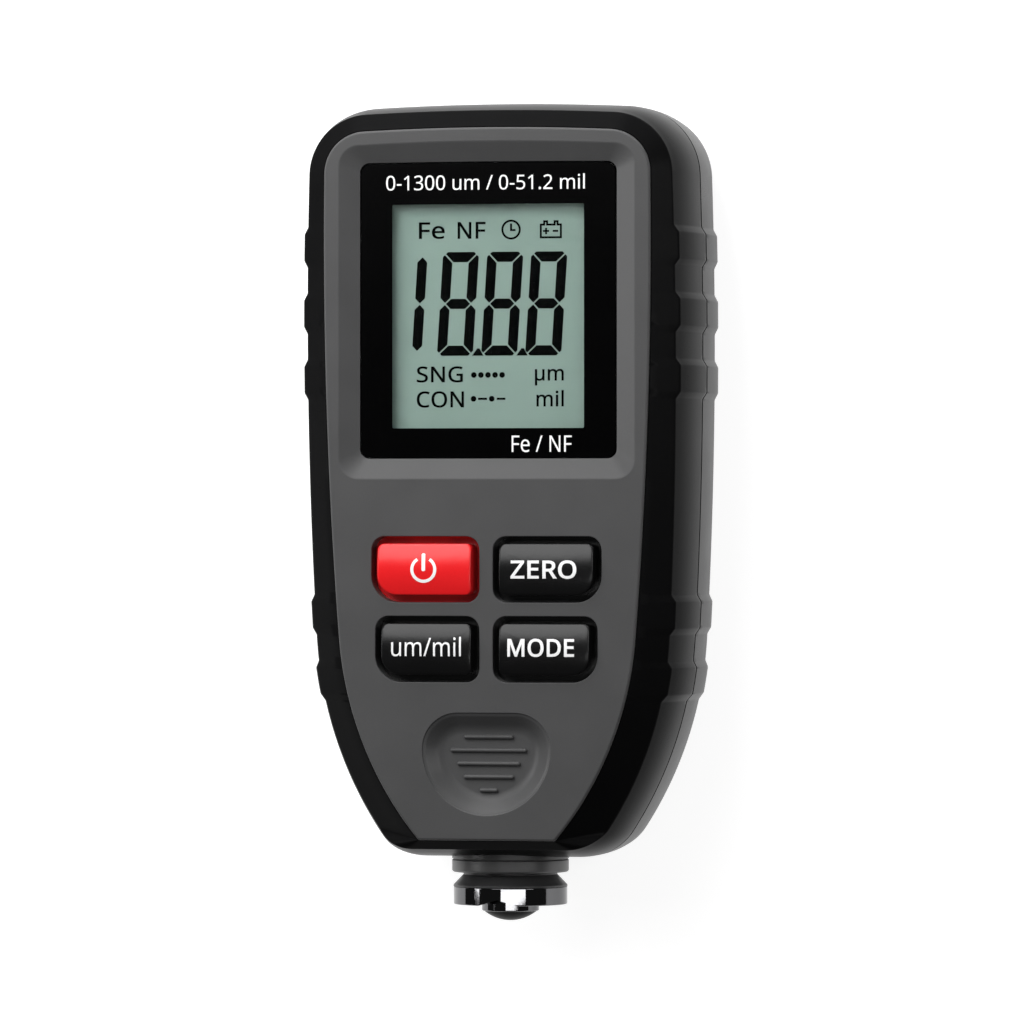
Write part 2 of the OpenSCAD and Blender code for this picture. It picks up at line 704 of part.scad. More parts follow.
// Rear shell: a tub with a located lip, the battery bay, the spring's seat and the screw bosses
module rear_shell() {
    inner_e = -rear_wall_t;
    outer = [for (a = [90:-30:0])
        let (e = -rear_draft - back_round_w * (1 - cos(a)), pts = ring(grown(parting, e)))
        flat(a > 0 ? pts : ribbed(pts), back_round_h * (1 - sin(a)))];
    tub = concat(outer, [flat(ribbed(ring(parting)), parting_z - groove),
                         flat(ribbed(ring(grown(parting, -groove))), parting_z),
                         flat(ring(grown(parting, -shell_wall - shell_gap)), parting_z),
                         flat(ring(grown(parting, -shell_wall - shell_gap)), parting_z + lip_h),
                         flat(ring(grown(parting, inner_e)), parting_z + lip_h),
                         flat(ring(grown(parting, inner_e)), floor_t + inner_round),
                         flat(ring(grown(parting, inner_e - inner_round)), floor_t)]);
    color([0.07, 0.07, 0.075])
    difference() {
        union() {
            skin(tub);
            box(-bay_half_w - bay_wall, bay_low_y - bay_wall, floor_t - sink, bay_half_w + bay_wall,
                bay_high_y + bay_wall, bay_top_z);
            box(-spring_d / 2 - seat_t, spring_seat_y, floor_t - sink, spring_d / 2 + seat_t, seat_top_y,
                parting_z + spring_d / 2 + seat_t / 2);
            both_sides() for (s = screw_places) boss(s, floor_t - sink, parting_z, rear_wall_t);
        }
        box(-bay_half_w, bay_low_y, -over, bay_half_w, bay_high_y, bay_roof_z);
        door_blank(door_clear, housing_top_y + over);
        collar_hole();
        both_sides() for (s = screw_places) {
            post(s.x, s.y, screw_d + 2 * shank_clear, -over, parting_z + over);
            post(s.x, s.y, screw_head_d + 2 * head_clear, -over, head_depth);
        }
    }
}

// The door's plate and its two tongues, grown by a clearance
module door_blank(gap, high_y) {
    box(-door_half_w - gap, door_low_y - gap, gap > 0 ? -over : 0, door_half_w + gap, high_y, door_t + gap);
    box(-door_half_w - tongue_w - gap, door_low_y - gap, door_t - tongue_t - gap, door_half_w + tongue_w + gap,
        high_y, door_t + gap);
}

// Battery door: it slides off over the top end, and its end carries on the round of the back edge
module battery_door() {
    outer = [for (a = [90:-30:0])
        flat(ring(grown(parting, -rear_draft - back_round_w * (1 - cos(a)))), back_round_h * (1 - sin(a)))];
    color([0.07, 0.07, 0.075])
    difference() {
        intersection() {
            skin(outer);
            door_blank(0, housing_top_y);
        }
        for (i = [0:grip_grooves - 1]) {
            y = door_low_y + grip_start + i * grip_pitch;
            box(-grip_l / 2, y - grip_w / 2, -over, grip_l / 2, y + grip_w / 2, grip_depth);
        }
    }
}

// Display stack
module display_lens() {
    color([0.75, 0.8, 0.82, 0.4]) prism(rounded(lens_corners()), lens_low_z, lens_top_z);
}

module lens_gasket() {
    color([0.05, 0.05, 0.05])
    difference() {
        prism(rounded(spread(lens_corners(), -gasket_inset)), well_floor_z, lens_low_z);
        box(-well_half_w - gasket_inset, lcd_y - well_half_l - gasket_inset, well_floor_z - over,
            well_half_w + gasket_inset, lcd_y + well_half_l + gasket_inset, lens_low_z + over);
    }
}

module lcd_panel() {
    color([0.55, 0.63, 0.58]) box(-lcd_w / 2, lcd_y - lcd_l / 2, lcd_low_z, lcd_w / 2, lcd_y + lcd_l / 2, lcd_top_z);
}

module lcd_frame() {
    in_w = lcd_w / 2 + lcd_clear;
    in_l = lcd_l / 2 + lcd_clear;
    color([0.9, 0.9, 0.88])
    difference() {
        box(-frame_half_w, lcd_y - frame_half_l, board_top_z, frame_half_w, lcd_y + frame_half_l, frame_top_z);
        box(-in_w, lcd_y - in_l, lcd_low_z, in_w, lcd_y + in_l, frame_top_z + over);
        box(-in_w, lcd_y - in_l, board_top_z - over, in_w, lcd_y + in_l, lcd_low_z - frame_floor_t);
        zebra_box(lcd_clear, lcd_low_z + over);
    }
}

// Striped rubber connector between the board and the edge of the liquid crystal panel
module zebra_box(gap, high_z) {
    zebra_y = lcd_y - lcd_l / 2 + zebra_inset;
    box(-zebra_w / 2 - gap, zebra_y - gap, board_top_z, zebra_w / 2 + gap, zebra_y + zebra_t + gap, high_z);
}

module zebra_strip() {
    color([0.2, 0.2, 0.22]) zebra_box(0, lcd_low_z);
}

// Circuit board, notched round the screw bosses
module circuit_board() {
    color([0.05, 0.35, 0.16])
    difference() {
        prism(ring(grown(parting, -board_inset)), board_low_z, board_top_z);
        box(-rim_w, rim_low_y - over, board_low_z - over, rim_w, board_low_y, board_top_z + over);
        both_sides() for (s = screw_places) {
            post(s.x, s.y, boss_d + 2 * boss_clear, board_low_z - over, board_top_z + over);
            box(s.x, s.y - boss_d / 2 - boss_clear, board_low_z - over, rim_w,
                s.y + boss_d / 2 + boss_clear, board_top_z + over);
        }
        both_sides() for (p = post_places) {
            post(p.x, p.y, board_screw_d + 2 * shank_clear, board_low_z - over, board_top_z + over);
        }
    }
}

module main_chip() {
    chip_y = bay_low_y - bay_wall - chip_clear - chip_w / 2;
    color([0.08, 0.08, 0.09])
    box(-chip_w / 2, chip_y - chip_w / 2, board_low_z - chip_t, chip_w / 2, chip_y + chip_w / 2, board_low_z);
}

// Keys: corner lists for the right-hand key of a row, with a rounder outer lower corner
function key_corners(w, y) =
    [[key_gap / 2, y - key_l / 2, key_r], [key_gap / 2 + w, y - key_l / 2, key_outer_r],
     [key_gap / 2 + w, y + key_l / 2, key_r], [key_gap / 2, y + key_l / 2, key_r]];
function flip_corners(c) = [for (i = [len(c) - 1:-1:0]) [-c[i].x, c[i].y, c[i].z]];
function upper_key() = key_corners(upper_key_w, key_y);
function lower_key() = key_corners(lower_key_w, lower_key_y);
function key_shapes() = [flip_corners(upper_key()), upper_key(), flip_corners(lower_key()), lower_key()];

// A key: foot, flange, straight skirt and bevelled top
module key(shape) {
    section = [[-key_foot_inset, key_foot_z], [-key_foot_inset, key_flange_z], [key_flange_w, key_flange_z],
               [key_flange_w, panel_under_z], [0, panel_under_z], [0, face_z - key_slope_drop],
               [-key_bevel, face_z + key_proud]];
    skin([for (s = section) flat(rounded(spread(shape, s[0])), s[1])]);
}

module power_key() {
    color([0.82, 0.07, 0.08]) key(key_shapes()[0]);
}

module zero_key() {
    color([0.05, 0.05, 0.055]) key(key_shapes()[1]);
}

module unit_key() {
    color([0.05, 0.05, 0.055]) key(key_shapes()[2]);
}

module mode_key() {
    color([0.05, 0.05, 0.055]) key(key_shapes()[3]);
}

// Rubber mat with one dome under each key, drawn at its pressed height
module key_mat() {
    color([0.55, 0.55, 0.56]) {
        box(-mat_half_w, mat_low_y, board_top_z, mat_half_w, mat_high_y, mat_top_z);
        for (k = key_shapes()) {
            translate([middle(k).x, middle(k).y, mat_top_z - sink])
                cylinder(d1 = dome_d, d2 = dome_d * dome_taper, h = dome_h + sink);
        }
    }
}

// Probe: collar clamped between the shells, sleeve and skirt outside it, and the sprung plunger within
module probe_collar() {
    bore_r = plunger_d / 2 + plunger_clear;
    flat_r = collar_d / 2 - collar_edge;
    color([0.05, 0.05, 0.05])
    turned([[bore_r, sleeve_top_y], [flat_r, sleeve_top_y], [collar_d / 2, sleeve_top_y + collar_edge],
            [collar_d / 2, collar_top_y - collar_edge], [flat_r, collar_top_y],
            [collar_neck_d / 2, collar_top_y], [collar_neck_d / 2, collar_back_y],
            [collar_back_d / 2, collar_back_y], [collar_back_d / 2, shoulder_y], [bore_r, shoulder_y]]);
}

module probe_sleeve() {
    bore_r = plunger_d / 2 + skirt_clear;
    neck_r = sleeve_neck_d / 2;
    color([0.05, 0.05, 0.05])
    turned([[bore_r, skirt_top_y], [skirt_d / 2, skirt_top_y], [skirt_d / 2, skirt_top_y + sleeve_land_h],
            [neck_r, sleeve_top_y - sleeve_neck_h], [neck_r, sleeve_top_y], [bore_r, sleeve_top_y]]);
}

module probe_skirt() {
    bore_r = plunger_d / 2 + skirt_clear;
    color([0.85, 0.85, 0.87])
    difference() {
        turned([[bore_r, skirt_low_y], [skirt_d / 2, skirt_low_y], [skirt_d / 2, skirt_top_y],
                [bore_r, skirt_top_y]]);
        translate([0, 0, parting_z - skirt_d]) linear_extrude(2 * skirt_d)
            polygon([[-notch_w / 2, skirt_low_y], [0, skirt_low_y + notch_depth], [notch_w / 2, skirt_low_y],
                     [notch_w / 2, skirt_low_y - over], [-notch_w / 2, skirt_low_y - over]]);
    }
}

module probe_plunger() {
    bore_r = plunger_bore_d / 2;
    bore_y = tip_top_y + plunger_end_t;
    color([0.85, 0.85, 0.87])
    turned([[0, tip_top_y], [plunger_d / 2, tip_top_y], [plunger_d / 2, shoulder_y], [shoulder_d / 2, shoulder_y],
            [shoulder_d / 2, spring_low_y], [bore_r, spring_low_y], [bore_r, bore_y], [0, bore_y]]);
}

// Dome of the radius that its width and height give
module probe_tip() {
    tip_r = tip_d / 2;
    dome_r = (tip_r * tip_r + tip_h * tip_h) / (2 * tip_h);
    reach = asin(tip_r / dome_r);
    color([0.2, 0.2, 0.21])
    turned(concat([[0, tip_top_y]],
                  [for (i = [8:-1:0]) let (a = reach * i / 8)
                      [dome_r * sin(a), tip_low_y + dome_r - dome_r * cos(a)]]));
}

module probe_core() {
    low_y = tip_top_y + plunger_end_t;
    color([0.3, 0.3, 0.32])
    turned([[0, low_y], [core_d / 2, low_y], [core_d / 2, low_y + core_l], [0, low_y + core_l]]);
}

module probe_coil() {
    low_y = tip_top_y + plunger_end_t;
    in_r = core_d / 2 + coil_clear;
    out_r = plunger_bore_d / 2 - 2 * coil_clear;
    color([0.72, 0.4, 0.2])
    turned([[in_r, low_y], [out_r, low_y], [out_r, low_y + coil_l], [in_r, low_y + coil_l]]);
}

module probe_spring() {
    color([0.7, 0.7, 0.72])
    translate([0, spring_low_y + spring_clear, parting_z]) rotate([-90, 0, 0])
        coil_wire(spring_d / 2, spring_d / 2, spring_wire, spring_l - 2 * spring_clear, spring_turns);
}

// A cell along +Y from its flat end
module cell() {
    rotate([-90, 0, 0]) {
        cylinder(d = cell_d, h = cell_l - nub_h);
        cylinder(d = nub_d, h = cell_l);
    }
}

module battery_left() {
    color([0.3, 0.32, 0.35]) translate([-cell_x, bay_low_y + contact_t + contact_l, cell_z]) cell();
}

module battery_right() {
    color([0.3, 0.32, 0.35])
    translate([cell_x, bay_high_y - contact_t - contact_l, cell_z]) rotate([0, 0, 180]) cell();
}

// A contact plate flat against an end of the bay, reaching along +Y
module contact_plate() {
    box(-contact_w / 2, 0, -contact_w / 2, contact_w / 2, contact_t, contact_w / 2);
}

module contact_spring() {
    foot_r = contact_w / 2 - contact_wire;
    head_r = contact_w / 4;
    contact_plate();
    translate([0, contact_t - contact_wire / 4, 0]) rotate([-90, 0, 0])
        coil_wire(foot_r, head_r, contact_wire, contact_l + contact_wire / 4 - spring_clear, 3);
}

module contact_springs() {
    color([0.78, 0.78, 0.8]) {
        translate([-cell_x, bay_low_y, cell_z]) contact_spring();
        translate([cell_x, bay_high_y, cell_z]) rotate([0, 0, 180]) contact_spring();
    }
}

module contact_plates() {
    color([0.78, 0.78, 0.8]) {
        translate([cell_x, bay_low_y, cell_z]) contact_plate();
        translate([-cell_x, bay_high_y, cell_z]) rotate([0, 0, 180]) contact_plate();
    }
}

// Screws
module housing_screws() {
    color([0.2, 0.2, 0.21])
    both_sides() for (s = screw_places) {
        post(s.x, s.y, screw_head_d, head_depth - screw_head_h, head_depth);
        post(s.x, s.y, screw_d, head_depth - sink, parting_z + (ledge_low_z - parting_z) / 2);
    }
}

module board_screws() {
    color([0.7, 0.7, 0.72])
    both_sides() for (p = post_places) {
        post(p.x, p.y, board_head_d, board_low_z - board_head_h, board_low_z);
        post(p.x, p.y, board_screw_d, board_low_z - sink, board_top_z + (panel_under_z - board_top_z) / 2);
    }
}

module placed() {
    translate([0, -middle_y, 0]) children();
}

placed() front_shell();
placed() face_panel();
placed() rear_shell();
placed() battery_door();
placed() display_lens();
placed() lens_gasket();
placed() lcd_panel();
placed() lcd_frame();
placed() zebra_strip();
placed() circuit_board();
placed() main_chip();
placed() power_key();
placed() zero_key();
placed() unit_key();
placed() mode_key();
placed() key_mat();
placed() probe_collar();
placed() probe_sleeve();
placed() probe_skirt();
placed() probe_plunger();
placed() probe_tip();
placed() probe_core();
placed() probe_coil();
placed() probe_spring();
placed() battery_left();
placed() battery_right();
placed() contact_springs();
placed() contact_plates();
placed() housing_screws();
placed() board_screws();
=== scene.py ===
"""A pocket coating thickness gauge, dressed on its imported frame.

X runs across the face, Y up the gauge and away from the probe, Z out of the face. The gauge lies on its back.
"""

import cmath
import math
import os

import bmesh
import bpy
from mathutils import Matrix, Vector


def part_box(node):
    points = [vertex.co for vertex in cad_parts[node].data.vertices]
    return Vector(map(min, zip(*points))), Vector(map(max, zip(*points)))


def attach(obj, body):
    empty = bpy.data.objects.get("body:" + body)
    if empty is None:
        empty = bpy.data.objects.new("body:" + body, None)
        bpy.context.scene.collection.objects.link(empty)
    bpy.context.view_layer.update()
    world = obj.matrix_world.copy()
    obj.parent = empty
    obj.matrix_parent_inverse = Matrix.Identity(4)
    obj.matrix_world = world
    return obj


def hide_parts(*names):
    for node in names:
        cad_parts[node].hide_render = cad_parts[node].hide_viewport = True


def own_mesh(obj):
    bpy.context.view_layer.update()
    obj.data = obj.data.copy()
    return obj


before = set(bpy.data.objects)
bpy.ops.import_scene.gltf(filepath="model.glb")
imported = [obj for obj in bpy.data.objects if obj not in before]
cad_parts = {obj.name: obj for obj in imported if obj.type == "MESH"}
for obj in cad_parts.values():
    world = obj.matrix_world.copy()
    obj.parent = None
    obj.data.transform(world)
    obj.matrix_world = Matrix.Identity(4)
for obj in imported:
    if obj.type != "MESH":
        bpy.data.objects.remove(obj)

bl_info = {
    "name": "Coating Thickness Gauge",
    "version": (1, 0, 0),
    "blender": (4, 5, 0),
    "location": "View3D > Sidebar > Gauge",
    "description": "Dresses a pocket coating thickness gauge on its packed frame",
    "category": "Add Mesh",
}

MM = 0.001
HOUSING = "housing"
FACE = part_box("face_panel")[1].z
PANEL_THICK = 2.4 * MM
PANEL_UNDER = FACE - PANEL_THICK
AXIS = (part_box("probe_tip")[0].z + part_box("probe_tip")[1].z) / 2
TOP_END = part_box("rear_shell")[1].y
LENS_LOW, LENS_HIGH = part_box("display_lens")
LCD_LOW, LCD_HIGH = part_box("lcd_panel")
# Smallest radius of a shrunken corner, overshoot of cutting tools, and how far a lip stands over the face
LEAST = 0.3 * MM
OVER = 2 * MM
HAIR = 0.002 * MM
# Power of a wall's bulge, and rounding of the shells' edges at the parting groove
BULGE = 2.6
TURN_IN = 0.12 * MM
# Steps round an outline's bottom corner, flank, top corner and half top, and rings down the scoop's side
LOW_STEPS, FLANK_STEPS, CORNER_STEPS, TOP_STEPS = 14, 30, 28, 16
SCOOP_RINGS = 18
# Part of the summed noise that a finish spreads over its tones
TONES = {"From Min": 0.6, "From Max": 1.4}
WHITE = (1.0, 1.0, 1.0, 1.0)
# Each lamp's name, place, aim and size in metres, its power in watts, and whether glossy parts mirror it
LAMPS = (
    ("key", (-0.135, 0.217, 0.149), (0.0, 0.02, 0.025), (0.3, 0.24), 1.3, False),
    ("overhead", (-0.085, 0.19, 0.325), (0.0, 0.0, 0.025), (0.16, 0.28), 0.5, True),
    ("far", (-0.1, 0.45, 0.16), (0.0, -0.03, 0.024), (0.3, 0.12), 0.32, True),
    ("left", (-0.32, 0.06, 0.22), (0.0, 0.02, 0.025), (0.1, 0.14), 0.3, True),
    ("right", (0.32, 0.06, 0.25), (0.0, 0.02, 0.025), (0.1, 0.14), 0.27, True),
    ("back", (0.1, 0.5, 0.05), (0.0, 0.05, 0.015), (0.6, 0.05), 1.1, True),
    ("corner", (0.28, 0.4, 0.28), (0.02, 0.045, 0.025), (0.3, 0.3), 0.16, True),
    ("strip", (0.085, -0.0595, 0.26), (0.0, -0.048, 0.012), (0.24, 0.008), 0.05, True),
    ("side_strip", (-0.26, -0.0555, 0.175), (0.0, -0.048, 0.012), (0.06, 0.01), 0.018, True),
)


def metres(values):
    """A row of millimetres in metres."""
    return [v * MM for v in values]


def span(name, description, default):
    """A length, its default given in millimetres."""
    return bpy.props.FloatProperty(name=name, description=description, default=default * MM, unit="LENGTH",
                                   precision=5)


def spans(name, description, defaults):
    """A row of lengths, their defaults given in millimetres."""
    return bpy.props.FloatVectorProperty(name=name, description=description, default=metres(defaults),
                                         size=len(defaults), unit="LENGTH", precision=5)


def paint(name, description, default):
    """A colour in linear light."""
    return bpy.props.FloatVectorProperty(name=name, description=description, default=default, size=3,
                                         subtype="COLOR", min=0.0, max=1.0)


class GaugeHousing(bpy.types.PropertyGroup):
    """Outline and section of the two shells."""

    rim_width: span("Rim Width", "Width of the front rim", 47.1)
    rim_wide: span("Rim Widest Height", "Height of the rim's widest place", 20.7)
    rim_top: span("Rim Top", "Height of the top of the rim", 50.0)
    rim_low: span("Rim Bottom", "Height of the bottom of the rim", -41.9)
    side_radius: span("Side Radius", "Radius of the bowed sides", 675.0)
    flank_height: span("Flank Height", "Height where the sides turn into the flanks", -15.6)
    flank_radius: span("Flank Radius", "Radius of the flanks", 47.7)
    top_radius: span("Top Radius", "Radius of the bowed top", 330.0)
    corner: span("Top Corner", "Radius of the two top corners", 7.7)
    low_corner: span("Bottom Corner", "Radius of the two bottom corners", 6.0)
    flare: span("Wall Flare", "Flare of the wall from the rim to the parting line", 1.15)
    rim_drop: span("Rim Drop", "Drop of the rim below the face at the top", 1.75)
    rim_fall: bpy.props.FloatProperty(name="Rim Fall", description="Slope of the rim towards the probe",
                                      default=0.0235, subtype="FACTOR", precision=4)
    end_lift: span("End Lift", "Rise of the rim at its lower end, where it is narrow", 2.3)
    edge_round: span("Edge Round", "Rounding of the edge between rim and wall", 0.2)
    groove: span("Parting Groove", "Width of the groove between the shells", 0.34)
    groove_depth: span("Groove Depth", "Depth of the groove between the shells", 0.6)
    draft: span("Rear Draft", "Draft of the rear wall", 0.3)
    back_round: spans("Back Round", "Width and height of the round along the back edge", (3.2, 4.0))
    rib_heights: spans("Rib Heights", "Heights of the grip ribs", (-21.0, -12.75, 16.6, 24.85, 33.1))
    rib_length: span("Rib Length", "Length of a grip rib", 5.0)
    rib_bevel: span("Rib Bevel", "Length of the bevel at each end of a rib", 0.87)
    rib_rise: span("Rib Rise", "Height of a grip rib", 0.55)
    rib_soft: span("Rib Softness", "Softening of the rib edges", 0.05)


class GaugePanel(bpy.types.PropertyGroup):
    """Outline of the face panel, its display recess and its thumb scoop."""

    width: span("Width", "Width of the face panel", 41.7)
    wide: span("Widest Height", "Height of the panel's widest place", 34.2)
    top: span("Top", "Height of the panel's top edge", 47.8)
    low: span("Bottom", "Height of the panel's bottom edge", -40.7)
    side_radius: span("Side Radius", "Radius of the panel's sides", 641.0)
    flank_radius: span("Flank Radius", "Radius of the panel's flanks", 44.6)
    corner: span("Top Corner", "Radius of the panel's top corners", 5.3)
    border: span("Border Round", "Rounding of the panel's border", 0.3)
    bevel: span("Lens Bevel", "Width of the bevel round the lens", 2.6)
    lens_corner: span("Lens Corner", "Corner radius of the lens", 1.2)
    scoop_width: span("Scoop Width", "Width of the thumb scoop", 16.3)
    scoop_top: span("Scoop Top", "Height of the scoop's flat top", -24.9)
    scoop_shoulder: span("Scoop Shoulder", "Radius of the scoop's shoulders", 4.5)
    scoop_depth: span("Scoop Depth", "Depth of the thumb scoop", 1.6)
    scoop_side: span("Scoop Side", "Width of the scoop's hollow side", 2.7)
    bar_height: span("Bar Height", "Height of the uppermost raised bar in the scoop", -27.87)
    bar_pitch: span("Bar Pitch", "Distance between the raised bars in the scoop", 1.655)
    bar_width: span("Bar Width", "Width of a raised bar", 0.55)
    bar_lengths: spans("Bar Lengths", "Lengths of the bars from the top one down", (6.4, 9.8, 8.1, 6.5, 2.4))


class GaugeKeys(bpy.types.PropertyGroup):
    """Sizes of the four keys."""

    gap: span("Gap", "Distance between the left and right keys", 2.34)
    height: span("Row Height", "Height of the middle of the upper row", -7.06)
    pitch: span("Row Pitch", "Distance between the two rows", 9.91)
    upper_width: span("Upper Width", "Width of the upper keys", 13.2)
    lower_width: span("Lower Width", "Width of the lower keys", 12.7)
    length: span("Length", "Size of a key along the gauge", 7.6)
    corner: span("Corner", "Corner radius of a key", 1.4)
    outer_corner: span("Outer Corner", "Radius of a key's outer lower corner", 3.0)
    bevel: span("Inset", "Distance of a key's top edge from its outline", 0.62)
    draft: span("Draft", "Lean of a key's wall", 0.08)
    crown: span("Crown", "Rise of a key's top over its ends", 0.42)
    clear: span("Clearance", "Gap between a key and its opening", 0.3)


class GaugeDisplay(bpy.types.PropertyGroup):
    """Sizes of the printed lens and of the marks on the liquid crystal panel."""

    window: spans("Window", "Half width, low and high edge of the clear window", (12.24, 10.48, 38.3))
    print_thickness: span("Print Thickness", "Thickness of the black print on the lens", 0.03)
    mark_thickness: span("Mark Thickness", "Thickness of the marks and legends", 0.02)
    digit_base: span("Digit Base", "Height of the foot of the digits", 19.5)
    digit_height: span("Digit Height", "Height of the digits", 12.9)
    digit_width: span("Digit Width", "Width of a digit", 4.6)
    digit_stroke: span("Digit Stroke", "Width of a digit's segments", 1.26)
    digit_slit: span("Digit Slit", "Gap between two segments", 0.17)
    digit_chamfer: span("Digit Chamfer", "Cut of a digit's outer corners", 0.62)
    digit_starts: spans("Digit Starts", "Left edges of the three full digits", (-6.43, -0.77, 4.85))
    one_start: span("One Start", "Left edge of the leading one", -9.66)


class GaugeProbe(bpy.types.PropertyGroup):
    """Sizes of the turned probe parts that the frame's boxes don't give."""

    neck: span("Collar Neck", "Diameter of the collar's neck", 13.5)
    flange: span("Collar Flange", "Thickness of the collar's flange", 2.8)
    groove: spans("Collar Groove", "Height and width of the groove round the flange", (1.6, 0.2))
    back_flange: spans("Back Flange", "Diameter and thickness of the flange inside", (14.3, 1.2))
    sleeve_neck: span("Sleeve Neck", "Diameter of the sleeve below the collar", 11.8)
    bore: span("Skirt Bore", "Bore of the sleeve and the skirt", 8.4)
    plunger: span("Plunger", "Diameter of the plunger", 7.2)
    plunger_bore: span("Plunger Bore", "Bore of the plunger", 5.2)
    notch: spans("Notch", "Width and depth of the notch across the skirt", (5.2, 0.75))
    edge: span("Edge", "Rounding of the turned edges", 0.16)


class GaugeColours(bpy.types.PropertyGroup):
    """Colours of the finishes."""

    housing: paint("Housing", "Black moulded housing", (0.0045, 0.0045, 0.0047))
    panel: paint("Panel", "Grey textured face panel", (0.064, 0.064, 0.0648))
    red: paint("Power Key", "Red power key", (0.74, 0.012, 0.015))
    black: paint("Keys", "Black keys", (0.0035, 0.0035, 0.0037))
    glass: paint("Display", "Grey-green liquid crystal panel", (0.3, 0.405, 0.355))
    mark: paint("Marks", "Dark marks on the display", (0.002, 0.0025, 0.0025))
    legend: paint("Legends", "White print", (0.86, 0.86, 0.86))
    jacket: paint("Cell Jacket", "Jacket of the cells", (0.05, 0.09, 0.16))


def sizes(group):
    """A property group of the scene."""
    return getattr(bpy.context.scene, "gauge_" + group)


# Flat outlines: points are complex numbers, X real and Y imaginary


def mix(a, b, t):
    return a + (b - a) * t


def arc(middle, radius, start, end, steps):
    """Points on an arc, both ends included, angles in radians."""
    return [middle + cmath.rect(radius, mix(start, end, k / steps)) for k in range(steps + 1)]


def circle(middle, radius, steps):
    return arc(middle, radius, 0, 2 * math.pi, steps)[:-1]


def rounded(corners, steps=8, between=1):
    """Points round a shape whose corners are (x, y, radius), with its straight edges cut into equal parts."""
    arcs = []
    for k, (x, y, radius) in enumerate(corners):
        here = complex(x, y)
        if radius <= 0:
            arcs.append([here])
            continue
        before = complex(*corners[k - 1][:2]) - here
        after = complex(*corners[(k + 1) % len(corners)][:2]) - here
        before /= abs(before)
        after /= abs(after)
        half = math.acos(max(-1.0, min(1.0, (before * after.conjugate()).real))) / 2
        middle = here + (before + after) / abs(before + after) * radius / math.sin(half)
        start = here + before * radius / math.tan(half) - middle
        turn = cmath.phase((here + after * radius / math.tan(half) - middle) / start)
        arcs.append([middle + start * cmath.rect(1, turn * s / steps) for s in range(steps + 1)])
    points = []
    for k, piece in enumerate(arcs):
        follow = arcs[(k + 1) % len(arcs)][0]
        points += piece + [mix(piece[-1], follow, s / between) for s in range(1, between)]
    return points


def box_corners(x0, y0, x1, y1, radius):
    return [(x0, y0, radius), (x1, y0, radius), (x1, y1, radius), (x0, y1, radius)]


def spread(corners, grow):
    """Corners moved outwards from the middle of their shape."""
    mid_x = sum(c[0] for c in corners) / len(corners)
    mid_y = sum(c[1] for c in corners) / len(corners)
    return [(x + grow * math.copysign(1, x - mid_x), y + grow * math.copysign(1, y - mid_y),
             max(radius + grow, LEAST) if radius > 0 else 0.0) for x, y, radius in corners]


class Outline:
    """The housing seen from the front: bowed sides, round flanks, a flat bottom and a bowed top."""

    def __init__(self, half, wide, side, turn, flank, low, low_round, top, bow, corner):
        self.values = (half, wide, side, turn, flank, low, low_round, top, bow, corner)

    def grown(self, e):
        half, wide, side, turn, flank, low, low_round, top, bow, corner = self.values
        return Outline(half + e, wide, side + e, turn, flank + e, low - e, max(low_round + e, LEAST), top + e,
                       bow + e, max(corner + e, LEAST))

    def ring(self, stations):
        """Points right round, always as many for the same stations along the sides."""
        half, wide, side, turn, flank, low, low_round, top, bow, corner = self.values
        side_mid = complex(half - side, wide)
        flank_mid = side_mid + cmath.rect(side - flank, turn)
        low_y = low + low_round
        reach = math.sqrt((flank - low_round) ** 2 - (low_y - flank_mid.imag) ** 2)
        low_mid = complex(flank_mid.real + reach, low_y)
        top_mid = complex(0, top - bow)
        away = top_mid - side_mid
        along = (abs(away) ** 2 + (side - corner) ** 2 - (bow - corner) ** 2) / (2 * abs(away))
        across = math.sqrt((side - corner) ** 2 - along ** 2)
        corner_mid = side_mid + away / abs(away) * complex(along, across)
        low_turn = cmath.phase(low_mid - flank_mid)
        flank_end = math.asin((stations[0] - flank_mid.imag) / flank)
        joint = side_mid + cmath.rect(side, turn)
        points = arc(low_mid, low_round, -math.pi / 2, low_turn, LOW_STEPS)
        points += arc(flank_mid, flank, low_turn, flank_end, FLANK_STEPS)[1:-1]
        for y in stations:
            middle, radius = (side_mid, side) if y > joint.imag else (flank_mid, flank)
            points.append(complex(middle.real + math.sqrt(radius ** 2 - (y - middle.imag) ** 2), y))
        corner_start = cmath.phase(corner_mid - side_mid)
        corner_end = cmath.phase(corner_mid - top_mid)
        points += arc(corner_mid, corner, corner_start, corner_end, CORNER_STEPS)
        points += arc(top_mid, bow, corner_end, math.pi / 2, TOP_STEPS)[1:-1]
        return points + [complex(0, top)] + [complex(-p.real, p.imag) for p in reversed(points)]


def rim_outline():
    s = sizes("housing")
    turn = math.asin((s.flank_height - s.rim_wide) / s.side_radius)
    return Outline(s.rim_width / 2, s.rim_wide, s.side_radius, turn, s.flank_radius, s.rim_low, s.low_corner,
                   s.rim_top, s.top_radius, s.corner)


def panel_outline():
    p = sizes("panel")
    s = sizes("housing")
    turn = math.asin((s.flank_height - p.wide) / p.side_radius)
    return Outline(p.width / 2, p.wide, p.side_radius, turn, p.flank_radius, p.low, LEAST, p.top,
                   s.top_radius, p.corner)


